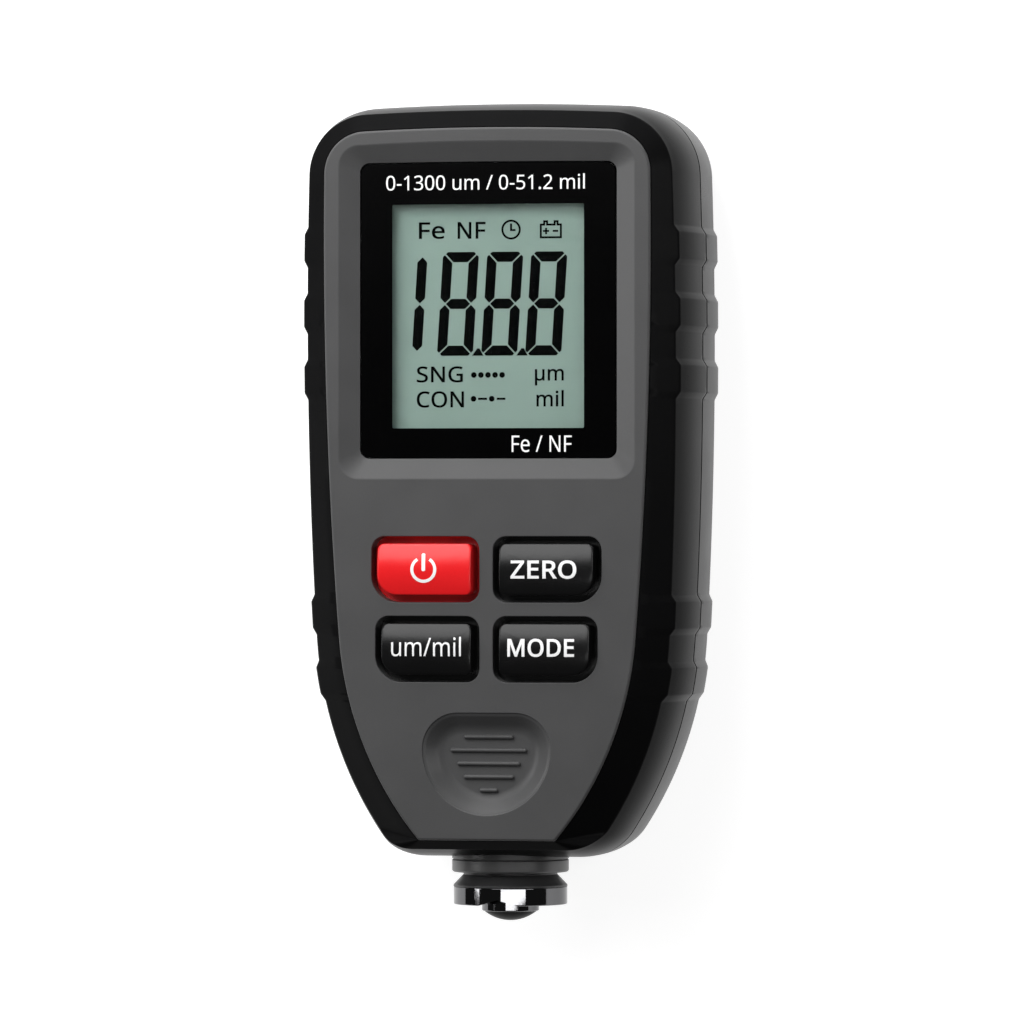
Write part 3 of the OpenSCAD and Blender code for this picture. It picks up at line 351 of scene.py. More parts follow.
def side_stations(step=0.8 * MM):
    """Heights along the sides up to the top corners, closer together at the ends of the ribs."""
    s = sizes("housing")
    start = s.rib_heights[0] - s.rib_length / 2
    corner_share = 1.45
    closest = s.rib_soft * 0.6
    count = round((s.rim_top - corner_share * s.corner - start) / step)
    stations = [start + k * step for k in range(count + 1)]
    for height in s.rib_heights:
        for edge in (s.rib_length / 2, s.rib_length / 2 - s.rib_bevel):
            for way in (-1, 1):
                stations += [height + way * edge + k * s.rib_soft for k in (-3, -2, -1, 0, 1, 2, 3)]
    stations.sort()
    kept = stations[:1]
    for y in stations:
        if y - kept[-1] > closest:
            kept.append(y)
    return kept


def rib_rise(y):
    """Height of the grip ribs at a place along the side, with softened edges."""
    s = sizes("housing")
    total = 0.0
    shifts = (-2, -1, 0, 1, 2)
    for k in shifts:
        near = min(abs(y + k * s.rib_soft - height) for height in s.rib_heights)
        total += min(1.0, max(0.0, (s.rib_length / 2 - near) / s.rib_bevel))
    return s.rib_rise * total / len(shifts)


def ribbed(points):
    return [complex(p.real + math.copysign(rib_rise(p.imag), p.real), p.imag) for p in points]


# Meshes


def at(points, z):
    """A flat outline raised to a height."""
    return [Vector((p.real, p.imag, z)) for p in points]


def mix_rings(a, b, t):
    return [p.lerp(q, t) for p, q in zip(a, b)]


def swell(a, b, t):
    """A ring between two others on a wall that bulges outwards and stands upright at the first."""
    out = t ** BULGE
    return [Vector((mix(p.x, q.x, out), mix(p.y, q.y, out), mix(p.z, q.z, t))) for p, q in zip(a, b)]


def bend(a, control, b, steps=6):
    """Rings that round the edge a control ring makes between two others."""
    rings = []
    for k in range(steps + 1):
        t = k / steps
        rings.append([p * (1 - t) ** 2 + c * (2 * t * (1 - t)) + q * t ** 2
                      for p, c, q in zip(a, control, b)])
    return rings


def new_piece(name, verts, faces, edges=()):
    mesh = bpy.data.meshes.new(name)
    mesh.from_pydata(verts, edges, faces)
    piece = bpy.data.objects.new(name, mesh)
    bpy.context.scene.collection.objects.link(piece)
    return piece


def tidy(piece):
    """Merge doubles and turn every face outwards."""
    weld = 1e-8
    work = bmesh.new()
    work.from_mesh(piece.data)
    bmesh.ops.remove_doubles(work, verts=work.verts, dist=weld)
    bmesh.ops.recalc_face_normals(work, faces=work.faces)
    work.to_mesh(piece.data)
    work.free()
    return piece


def loft(name, rings, loop=False):
    """A closed skin over rings of equal length, with flat ends or joined end to start."""
    n = len(rings[0])
    count = len(rings)
    faces = []
    for k in range(count if loop else count - 1):
        up = (k + 1) % count
        faces += [(k * n + i, k * n + (i + 1) % n, up * n + (i + 1) % n, up * n + i) for i in range(n)]
    if not loop:
        faces += [tuple(reversed(range(n))), tuple(range((count - 1) * n, count * n))]
    return tidy(new_piece(name, [v for ring in rings for v in ring], faces))


def prism(name, points, z0, z1):
    return loft(name, [at(points, z0), at(points, z1)])


def block(name, x0, y0, z0, x1, y1, z1):
    return prism(name, rounded(box_corners(x0, y0, x1, y1, 0.0)), z0, z1)


def lathe(name, profile, x=0.0, z=AXIS, steps=112):
    """A body turned about a line along Y, from a profile of complex(radius, height)."""
    rings = []
    for k in range(steps):
        turn = cmath.rect(1, 2 * math.pi * k / steps)
        rings.append([Vector((x + p.real * turn.real, p.imag, z + p.real * turn.imag)) for p in profile])
    return loft(name, rings, loop=True)


def settle(piece):
    """Keep what the modifiers make as the piece's own mesh."""
    graph = bpy.context.evaluated_depsgraph_get()
    made = bpy.data.meshes.new_from_object(piece.evaluated_get(graph))
    old = piece.data
    piece.modifiers.clear()
    piece.data = made
    bpy.data.meshes.remove(old)
    return piece


def combine(piece, tool, operation="DIFFERENCE"):
    """Cut a tool out of a piece, or join it on, and remove the tool."""
    step = piece.modifiers.new("combine", "BOOLEAN")
    step.operation = operation
    step.solver = "MANIFOLD"
    step.object = tool
    settle(piece)
    bpy.data.objects.remove(tool)
    if not piece.data.polygons:
        raise RuntimeError("nothing is left of " + piece.name)
    return piece


def smooth(piece, angle=32.0):
    """Smooth shading with hard edges kept, weighted so that large faces stay flat."""
    piece.data.polygons.foreach_set("use_smooth", [True] * len(piece.data.polygons))
    piece.data.set_sharp_from_angle(angle=math.radians(angle))
    step = piece.modifiers.new("weighted", "WEIGHTED_NORMAL")
    step.keep_sharp = True
    step.weight = 90
    return settle(piece)


def dress(piece, finish, body=HOUSING, nodes=(), angle=32.0):
    """Shade a piece, give it its finish and set it on its body."""
    smooth(piece, angle)
    piece.data.materials.clear()
    piece.data.materials.append(finish)
    if nodes:
        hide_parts(*nodes)
    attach(piece, body)
    return piece


# Finishes


def add(tree, kind, inputs=None, **settings):
    """A node with its settings, its inputs given as values or as sockets to link."""
    node = tree.nodes.new(kind)
    for key, value in settings.items():
        setattr(node, key, value)
    for key, value in (inputs or {}).items():
        if isinstance(value, bpy.types.NodeSocket):
            tree.links.new(value, node.inputs[key])
        else:
            node.inputs[key].default_value = value
    return node


def reckon(tree, operation, *values, **settings):
    """The result of a math node on values or sockets."""
    return add(tree, "ShaderNodeMath", dict(enumerate(values)), operation=operation, **settings).outputs[0]


def finish(name, colour, rough, grain=0.12, depth=0.004, patch=6.0, vary=0.12, stretch=(1, 1, 1),
           **constants):
    """A finish with grain as bump, and colour and roughness that drift a little over the surface.

    Grain, its depth and the size of a patch are in millimetres. Constants go straight onto the shader.
    """
    found = bpy.data.materials.get(name)
    if found:
        return found
    material = bpy.data.materials.new(name)
    material.use_nodes = True
    tree = material.node_tree
    shader = tree.nodes["Principled BSDF"]
    place = add(tree, "ShaderNodeTexCoord").outputs["Object"]
    place = add(tree, "ShaderNodeMapping", {"Vector": place, "Scale": stretch}).outputs["Vector"]
    noises = []
    for width, detail in ((patch, 3.0), (grain, 2.0)):
        inputs = {"Vector": place, "Scale": 1 / (width * MM), "Detail": detail}
        noises.append(add(tree, "ShaderNodeTexNoise", inputs).outputs[0])
    drift, fine = noises
    tone = reckon(tree, "ADD", drift, fine)
    dark = [c * (1 - vary) for c in colour] + [1.0]
    light = [min(1.0, c * (1 + vary)) for c in colour] + [1.0]
    shade = add(tree, "ShaderNodeMix", data_type="RGBA")
    spread_tone = add(tree, "ShaderNodeMapRange", {"Value": tone, **TONES})
    tree.links.new(spread_tone.outputs["Result"], shade.inputs["Factor"])
    for socket, value in (("A", dark), ("B", light)):
        [s for s in shade.inputs if s.name == socket and s.type == "RGBA"][0].default_value = value
    colour_out = [s for s in shade.outputs if s.type == "RGBA"][0]
    tree.links.new(colour_out, shader.inputs["Base Color"])
    limits = {"To Min": rough[0], "To Max": rough[1]}
    matte = add(tree, "ShaderNodeMapRange", {"Value": tone, **TONES, **limits})
    tree.links.new(matte.outputs["Result"], shader.inputs["Roughness"])
    bump = add(tree, "ShaderNodeBump", {"Height": fine, "Strength": 1.0, "Distance": depth * MM})
    tree.links.new(bump.outputs["Normal"], shader.inputs["Normal"])
    for key, value in constants.items():
        shader.inputs[key.replace("_", " ")].default_value = value
    return material


def moulded_finish(name, gloss):
    return finish(name, sizes("colours").housing, (0.27, 0.33), grain=0.14, depth=0.002,
                  Specular_IOR_Level=gloss)


def front_finish():
    return moulded_finish("moulded black", 0.025)


def rear_finish():
    return moulded_finish("moulded rear black", 0.09)


def panel_finish():
    return finish("textured grey", sizes("colours").panel, (0.34, 0.42), grain=0.11, depth=0.005, vary=0.08,
                  Specular_IOR_Level=0.25)


def chrome_finish():
    return finish("dark chrome", (0.13, 0.13, 0.134), (0.03, 0.07), grain=0.4, depth=0.0003, vary=0.02,
                  Metallic=1.0)


def steel_finish():
    return finish("bright steel", (0.6, 0.6, 0.62), (0.22, 0.34), grain=0.2, depth=0.001, Metallic=1.0)


def black_metal_finish():
    return finish("blackened metal", (0.04, 0.04, 0.041), (0.36, 0.44), grain=0.2, depth=0.001,
                  stretch=(0.2, 3.0, 0.2))


def legend_finish():
    return finish("white print", sizes("colours").legend, (0.42, 0.5), grain=0.1, depth=0.001, vary=0.03)


def mark_finish():
    return finish("display marks", sizes("colours").mark, (0.5, 0.6), grain=0.1, depth=0.001,
                  Specular_IOR_Level=0.02)


# Geometry trees


def geometry_tree(name, inputs):
    """A tree with geometry in and out and named inputs."""
    tree = bpy.data.node_groups.new(name, "GeometryNodeTree")
    tree.interface.new_socket("Geometry", in_out="INPUT", socket_type="NodeSocketGeometry")
    tree.interface.new_socket("Geometry", in_out="OUTPUT", socket_type="NodeSocketGeometry")
    for label, kind in inputs.items():
        tree.interface.new_socket(label, in_out="INPUT", socket_type=kind)
    return tree, tree.nodes.new("NodeGroupInput").outputs


def close_tree(tree, made, material):
    """End a tree in real geometry with its finish."""
    real = add(tree, "GeometryNodeRealizeInstances", {"Geometry": made})
    done = add(tree, "GeometryNodeSetMaterial", {"Geometry": real.outputs[0], "Material": material})
    add(tree, "NodeGroupOutput", {"Geometry": done.outputs[0]})


def grow(piece, tree, values):
    """Run a tree on a piece, its inputs set by identifier, and keep the result as a plain mesh."""
    step = piece.modifiers.new(tree.name, "NODES")
    step.node_group = tree
    for item in tree.interface.items_tree:
        if item.in_out == "INPUT" and item.name in values:
            step[item.identifier] = values[item.name]
    return tidy(settle(piece))


def bar_tree(material):
    """Round-ended bars along the edges of a mesh."""
    tree, given = geometry_tree("raised bars", {"Radius": "NodeSocketFloat", "Step": "NodeSocketFloat"})
    line = add(tree, "GeometryNodeMeshToCurve", {"Mesh": given["Geometry"]}).outputs[0]
    line = add(tree, "GeometryNodeResampleCurve", {"Curve": line, "Length": given["Step"]},
               mode="LENGTH").outputs[0]
    run = add(tree, "GeometryNodeSplineParameter").outputs["Length"]
    whole = add(tree, "GeometryNodeSplineLength").outputs["Length"]
    near = reckon(tree, "MINIMUM", run, reckon(tree, "SUBTRACT", whole, run))
    part = reckon(tree, "DIVIDE", near, given["Radius"], use_clamp=True)
    square = reckon(tree, "MULTIPLY", part, reckon(tree, "SUBTRACT", 2.0, part))
    scale = reckon(tree, "SQRT", square)
    sides = {"Resolution": 20, "Radius": given["Radius"]}
    profile = add(tree, "GeometryNodeCurvePrimitiveCircle", sides).outputs[0]
    made = add(tree, "GeometryNodeCurveToMesh", {"Curve": line, "Profile Curve": profile, "Scale": scale,
                                                 "Fill Caps": True}).outputs[0]
    close_tree(tree, made, material)
    return tree


COIL_INPUTS = ("Turns", "Foot Radius", "Head Radius", "Length", "Wire")


def coil_tree(material):
    """A coil spring along Z from the origin."""
    tree, given = geometry_tree("coil spring", dict.fromkeys(COIL_INPUTS, "NodeSocketFloat"))
    path = add(tree, "GeometryNodeCurveSpiral", {"Resolution": 40, "Rotations": given["Turns"],
                                                 "Start Radius": given["Foot Radius"],
                                                 "End Radius": given["Head Radius"],
                                                 "Height": given["Length"]}).outputs[0]
    sides = {"Resolution": 14, "Radius": given["Wire"]}
    wire = add(tree, "GeometryNodeCurvePrimitiveCircle", sides).outputs[0]
    made = add(tree, "GeometryNodeCurveToMesh", {"Curve": path, "Profile Curve": wire, "Fill Caps": True})
    close_tree(tree, made.outputs[0], material)
    return tree


def screw_tree(material):
    """Cross-head screws on the vertices of a mesh, heads towards -Z."""
    lengths = ("Head Radius", "Head Height", "Shank Radius", "Shank Length")
    places = ("Slot", "Cross Slot", "Head Place", "Shank Place")
    kinds = {**dict.fromkeys(lengths, "NodeSocketFloat"), **dict.fromkeys(places, "NodeSocketVector")}
    tree, given = geometry_tree("cross head screws", kinds)
    crown_share = 0.78
    narrow = reckon(tree, "MULTIPLY", given["Head Radius"], crown_share)
    head = add(tree, "GeometryNodeMeshCone", {"Vertices": 48, "Side Segments": 6, "Radius Bottom": narrow,
                                              "Radius Top": given["Head Radius"],
                                              "Depth": given["Head Height"]}).outputs[0]
    cut = add(tree, "GeometryNodeMeshBoolean", {"Mesh 1": head}, operation="DIFFERENCE")
    for key in ("Slot", "Cross Slot"):
        slot = add(tree, "GeometryNodeMeshCube", {"Size": given[key]}).outputs[0]
        tree.links.new(slot, cut.inputs["Mesh 2"])
    head = add(tree, "GeometryNodeTransform", {"Geometry": cut.outputs[0],
                                               "Translation": given["Head Place"]})
    shank = add(tree, "GeometryNodeMeshCylinder", {"Vertices": 32, "Radius": given["Shank Radius"],
                                                   "Depth": given["Shank Length"]}).outputs[0]
    shank = add(tree, "GeometryNodeTransform", {"Geometry": shank, "Translation": given["Shank Place"]})
    whole = add(tree, "GeometryNodeJoinGeometry")
    for part in (head, shank):
        tree.links.new(part.outputs[0], whole.inputs[0])
    made = add(tree, "GeometryNodeInstanceOnPoints", {"Points": given["Geometry"],
                                                      "Instance": whole.outputs[0]})
    close_tree(tree, made.outputs[0], material)
    return tree


# Print and marks


def plain_face():
    """The plain sans face that comes with Blender."""
    folder = bpy.utils.system_resource("DATAFILES", path="fonts")
    return bpy.data.fonts.load(os.path.join(folder, "NotoSansMath-Regular.woff2"), check_existing=True)


def embolden(work, weight):
    """Move the edges of flat letters outwards, square to themselves."""
    sharpest = 1.5
    work.normal_update()
    moves = {}
    for vert in work.verts:
        sides = []
        for edge in vert.link_edges:
            if edge.is_boundary:
                along = (edge.verts[1].co - edge.verts[0].co).normalized()
                side = Vector((along.y, -along.x, 0))
                inward = edge.link_faces[0].calc_center_median() - edge.verts[0].co
                sides.append(-side if side.dot(inward) > 0 else side)
        if len(sides) == 2:
            whole = sides[0] + sides[1]
            moves[vert] = whole * min(2.0 / max(whole.length_squared, 1e-6), sharpest) * weight
    for vert, move in moves.items():
        vert.co += move


def lettering(name, words, low, high, z, thick, bold=0.0):
    """Words as a thin plate that fills the box between two corners."""
    curve = bpy.data.curves.new(name, "FONT")
    curve.font = plain_face()
    curve.body = words
    curve.resolution_u = 5
    curve.space_character = 1 + 2 * bold
    holder = bpy.data.objects.new(name + "_words", curve)
    bpy.context.scene.collection.objects.link(holder)
    graph = bpy.context.evaluated_depsgraph_get()
    mesh = bpy.data.meshes.new_from_object(holder.evaluated_get(graph))
    bpy.data.objects.remove(holder)
    work = bmesh.new()
    work.from_mesh(mesh)
    embolden(work, bold)
    xs = [v.co.x for v in work.verts]
    ys = [v.co.y for v in work.verts]
    for v in work.verts:
        part_x = (v.co.x - min(xs)) / (max(xs) - min(xs))
        part_y = (v.co.y - min(ys)) / (max(ys) - min(ys))
        v.co = (mix(low[0], high[0], part_x), mix(low[1], high[1], part_y), z)
    raised = bmesh.ops.extrude_face_region(work, geom=work.faces[:], use_keep_orig=True)["geom"]
    for v in raised:
        if isinstance(v, bmesh.types.BMVert):
            v.co.z += thick
    work.to_mesh(mesh)
    work.free()
    piece = bpy.data.objects.new(name, mesh)
    bpy.context.scene.collection.objects.link(piece)
    return tidy(piece)


def plates(name, shapes, z, thick):
    """Flat shapes as one mesh of thin plates."""
    verts = []
    faces = []
    for shape in shapes:
        n = len(shape)
        first = len(verts)
        verts += at(shape, z) + at(shape, z + thick)
        faces += [tuple(first + i for i in range(n)), tuple(first + n + i for i in range(n))]
        faces += [(first + i, first + (i + 1) % n, first + n + (i + 1) % n, first + n + i) for i in range(n)]
    return tidy(new_piece(name, verts, faces))


def hoop(name, middle, radius, stroke, start, end, z, thick, steps=48):
    """A round stroke as a thin plate, open or closed."""
    closed = end - start >= 2 * math.pi
    outer = arc(middle, radius, start, end, steps)
    inner = arc(middle, radius - stroke, start, end, steps)
    rings = []
    for p, q in zip(outer, inner):
        rings.append(at([p, q], z) + at([q, p], z + thick))
    return loft(name, rings[:-1] if closed else rings, loop=closed)


def join(name, pieces):
    """One piece from several."""
    work = bmesh.new()
    for piece in pieces:
        work.from_mesh(piece.data)
        bpy.data.objects.remove(piece)
    mesh = bpy.data.meshes.new(name)
    work.to_mesh(mesh)
    work.free()
    piece = bpy.data.objects.new(name, mesh)
    bpy.context.scene.collection.objects.link(piece)
    return piece


# Shells


def collar_hole():
    """The hole between the shells for the collar's neck, with a seat for its flange."""
    s = sizes("housing")
    p = sizes("probe")
    clear = 0.1 * MM
    low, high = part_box("probe_collar")
    neck = p.neck / 2 + clear
    flange = high.x + clear
    seat = low.y + p.flange + clear
    mouth = s.rim_low - s.flare - OVER
    end = high.y - p.back_flange[1]
    return lathe("collar_hole", [complex(0, mouth), complex(flange, mouth), complex(flange, seat),
                                 complex(neck, seat), complex(neck, end), complex(0, end)], steps=96)


class GAUGE_OT_front_shell(bpy.types.Operator):
    """Sweep the front shell's section round the outline, with its chamfered rim and grip ribs"""

    bl_idname = "gauge.front_shell"
    bl_label = "Front Shell"

    def execute(self, context):
        s = sizes("housing")
        rim = rim_outline()
        parting = rim.grown(s.flare)
        panel = panel_outline()
        stations = side_stations()
        wall, wall_steps = 1.9 * MM, 10
        start = AXIS + s.groove / 2
        chamfer = s.rim_drop / ((s.rim_width - sizes("panel").width) / 2)
        chamfer_run = s.rim_drop * 1.5
        chin = 2.6 * MM
        panel_gap, lip_step = 0.04 * MM, 0.08 * MM
        ledge_width, ledge_under = 1.2 * MM, PANEL_UNDER - 1.6 * MM

        def edge_point(p):
            rise = rib_rise(p.imag)
            near_end = min(1.0, max(0.0, (s.rim_low + chin - p.imag) / chin))
            lift = s.end_lift * near_end ** 2 * (3 - 2 * near_end)
            z = FACE - s.rim_drop - (s.rim_top - p.imag) * s.rim_fall - rise * chamfer + lift
            return Vector((p.real + math.copysign(rise, p.real), p.imag, z))

        outer = ribbed(parting.ring(stations))
        low = at(outer, start + TURN_IN)
        edge = [edge_point(p) for p in rim.ring(stations)]
        border = panel.grown(panel_gap).ring(stations)
        border_foot = FACE - sizes("panel").border
        lip = at(border, border_foot)
        groove = ribbed(parting.grown(-s.groove_depth).ring(stations))
        turned_in = ribbed(parting.grown(-TURN_IN).ring(stations))
        inner = parting.grown(-wall).ring(stations)
        ledge = panel.grown(-ledge_width).ring(stations)
        height = FACE - s.rim_drop - AXIS
        below = mix_rings(edge, low, s.edge_round / height)
        inside = mix_rings(edge, lip, s.edge_round / chamfer_run)
        rings = [at(inner, AXIS), at(groove, AXIS), at(groove, start)]
        rings += bend(at(turned_in, start), at(outer, start), low, 3)
        rings += [swell(low, below, k / wall_steps) for k in range(1, wall_steps)]
        rings += bend(below, edge, inside)
        rings += [mix_rings(inside, lip, t) for t in (0.33, 0.66, 0.96)]
        rings += [at(border, border_foot - lip_step), at(border, PANEL_UNDER), at(ledge, PANEL_UNDER),
                  at(ledge, ledge_under), at(inner, ledge_under)]
        piece = loft("front_shell_moulding", rings, loop=True)
        combine(piece, collar_hole())
        dress(piece, front_finish(), nodes=["front_shell"])
        return {"FINISHED"}


def back_rings(stations, ribs_at_top=True):
    """Rings of the rounded back edge, from the flat back up to the straight wall."""
    s = sizes("housing")
    parting = rim_outline().grown(s.flare)
    rings = []
    steps = 10
    for k in range(steps + 1):
        turn = math.pi / 2 * (1 - k / steps)
        ring = parting.grown(-s.draft - s.back_round[0] * (1 - math.cos(turn))).ring(stations)
        fade = (k / steps) ** 2 if ribs_at_top else 0.0
        points = [mix(p, q, fade) for p, q in zip(ring, ribbed(ring))]
        rings.append(at(points, s.back_round[1] * (1 - math.sin(turn))))
    return rings


def door_blank(gap, high):
    """The door's plate with its two tongues, grown by a clearance."""
    low_corner, high_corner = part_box("battery_door")
    tongue_reach, tongue_thick = 0.9 * MM, 0.7 * MM
    tongue = high_corner.x
    plate = tongue - tongue_reach
    top = high_corner.z
    low = low_corner.y - gap
    body = block("door_plate", -plate - gap, low, -OVER if gap else 0.0, plate + gap, high, top + gap)
    tongues = block("door_tongues", -tongue - gap, low, top - tongue_thick - gap, tongue + gap, high,
                    top + gap)
    return combine(body, tongues, "UNION")


class GAUGE_OT_rear_shell(bpy.types.Operator):
    """Build the rear shell with its battery bay, door slot and screw wells"""

    bl_idname = "gauge.rear_shell"
    bl_label = "Rear Shell"

    def execute(self, context):
        s = sizes("housing")
        stations = side_stations()
        parting = rim_outline().grown(s.flare)
        high = AXIS - s.groove / 2
        insets = (2.0 * MM, 2.9 * MM, 4.9 * MM)
        lip_top = AXIS + 1.2 * MM
        foot, floor = 4.6 * MM, 2.6 * MM
        door_clear = 0.12 * MM
        outer = ribbed(parting.ring(stations))
        turned_in = ribbed(parting.grown(-TURN_IN).ring(stations))
        groove = ribbed(parting.grown(-s.groove_depth).ring(stations))
        lip_out, lip_in, floor_edge = [parting.grown(-inset).ring(stations) for inset in insets]
        rings = back_rings(stations)
        start = rings[-1]
        shoulder = at(outer, high - TURN_IN)
        rings += [swell(shoulder, start, t) for t in (0.8, 0.6, 0.4, 0.2)]
        rings += bend(shoulder, at(outer, high), at(turned_in, high), 3)
        rings += [at(groove, high), at(groove, AXIS), at(lip_out, AXIS), at(lip_out, lip_top),
                  at(lip_in, lip_top), at(lip_in, foot), at(floor_edge, floor)]
        piece = loft("rear_shell_moulding", rings)
        self.bay(piece)
        combine(piece, door_blank(door_clear, TOP_END + OVER))
        combine(piece, collar_hole())
        self.wells(piece)
        dress(piece, rear_finish(), nodes=["rear_shell"])
        return {"FINISHED"}

    def bay(self, piece):
        """Add the walls and roof of the battery bay, and clear its room."""
        low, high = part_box("contact_springs")
        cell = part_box("battery_right")[1]
        clear, wall, roof_thick, foot = metres((0.3, 1.4, 1.1, 2.3))
        x = cell.x + clear
        roof = cell.z + clear
        walls = block("bay", -x - wall, low.y - wall, foot, x + wall, high.y + wall, roof + roof_thick)
        combine(piece, walls, "UNION")
        combine(piece, block("bay_room", -x, low.y, -OVER, x, high.y, roof))

    def wells(self, piece):
        """Cut a well for each screw's head and a hole for its shank."""
        cuts = (("screw_well", 2.3 * MM, 48, -OVER, 2.2 * MM),
                ("screw_hole", 1.35 * MM, 32, 1.0 * MM, AXIS))
        for x, y in screw_places():
            for name, radius, steps, low, high in cuts:
                combine(piece, prism(name, circle(complex(x, y), radius, steps), low, high))


class GAUGE_OT_battery_door(bpy.types.Operator):
    """Build the sliding battery door with its grip grooves"""

    bl_idname = "gauge.battery_door"
    bl_label = "Battery Door"

    def execute(self, context):
        piece = door_blank(0.0, TOP_END)
        piece.name = "battery_door_moulding"
        combine(piece, loft("back_form", back_rings(side_stations(), ribs_at_top=False)), "INTERSECT")
        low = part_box("battery_door")[0].y
        count, first, pitch = 6, 7.0, 1.7
        for k in range(count):
            combine(piece, self.groove(low + (first + pitch * k) * MM))
        dress(piece, rear_finish(), "door", ["battery_door"])
        return {"FINISHED"}

    def groove(self, y):
        """A tool for one grip groove, flared towards the back."""
        half_length, half_width, radius, flare, depth = metres((6.0, 0.42, 0.41, 0.2, 0.4))
        skin = 0.001 * MM
        rings = []
        for grow, z in ((flare, -OVER), (flare, -skin), (0.0, depth / 2), (0.0, depth)):
            x = half_length + grow
            reach = half_width + grow
            rings.append(at(rounded(box_corners(-x, y - reach, x, y + reach, radius + grow), 6), z))
        return loft("groove", rings)


# Face


def key_corners():
    """Corners of the four keys by node, each with a rounder outer lower corner."""
    k = sizes("keys")
    shapes = {}
    rows = ((k.upper_width, k.height, "power_key", "zero_key"),
            (k.lower_width, k.height - k.pitch, "unit_key", "mode_key"))
    for width, y, left, right in rows:
        near, far = k.gap / 2, k.gap / 2 + width
        low, high = y - k.length / 2, y + k.length / 2
        shapes[right] = [(near, low, k.corner), (far, low, k.outer_corner), (far, high, k.corner),
                         (near, high, k.corner)]
        shapes[left] = [(-x, cy, r) for x, cy, r in reversed(shapes[right])]
    return shapes


def lens_ring(grow=0.0, corner_grow=0.0, bow=0.1 * MM):
    """The lens's outline, or one grown from it, with its top edge bowed."""
    half = LENS_HIGH.x + grow
    low, high = LENS_LOW.y - grow, LENS_HIGH.y + grow
    radius = sizes("panel").lens_corner + corner_grow
    points = rounded(box_corners(-half, low, half, high, radius), 12, 12)
    middle = (low + high) / 2
    bowed = []
    for p in points:
        upper = max(0.0, (p.imag - middle) / (high - middle))
        bowed.append(complex(p.real, p.imag - bow * (p.real / half) ** 2 * upper))
    return bowed


def scoop_ring(grow):
    p = sizes("panel")
    y = p.scoop_top - p.scoop_shoulder
    x = p.scoop_width / 2 - p.scoop_shoulder
    slack = math.radians(3)
    return (arc(complex(0, y), p.scoop_width / 2 + grow, -math.pi, 0, 56)
            + arc(complex(x, y), p.scoop_shoulder + grow, slack, math.pi / 2, 22)
            + arc(complex(-x, y), p.scoop_shoulder + grow, math.pi / 2, math.pi - slack, 22))


def scoop_rise(run):
    """Share of the scoop's depth won by a share of its side: a soft foot, then an even slope."""
    bend_share = 0.5
    climb = run * run / (2 * bend_share) if run < bend_share else run - bend_share / 2
    return climb / (1 - bend_share / 2)


def flared(shape, low, lip, high=FACE):
    """A tool for an opening with a rounded lip, from a function that gives its ring for a growth."""
    rings = [at(shape(0.0), low)]
    steps = 5
    for k in range(steps + 1):
        turn = math.pi / 2 * k / steps
        rings.append(at(shape(lip * (1 - math.cos(turn))), high - lip * (1 - math.sin(turn)) + HAIR))
    return rings + [at(shape(lip), high + OVER)]


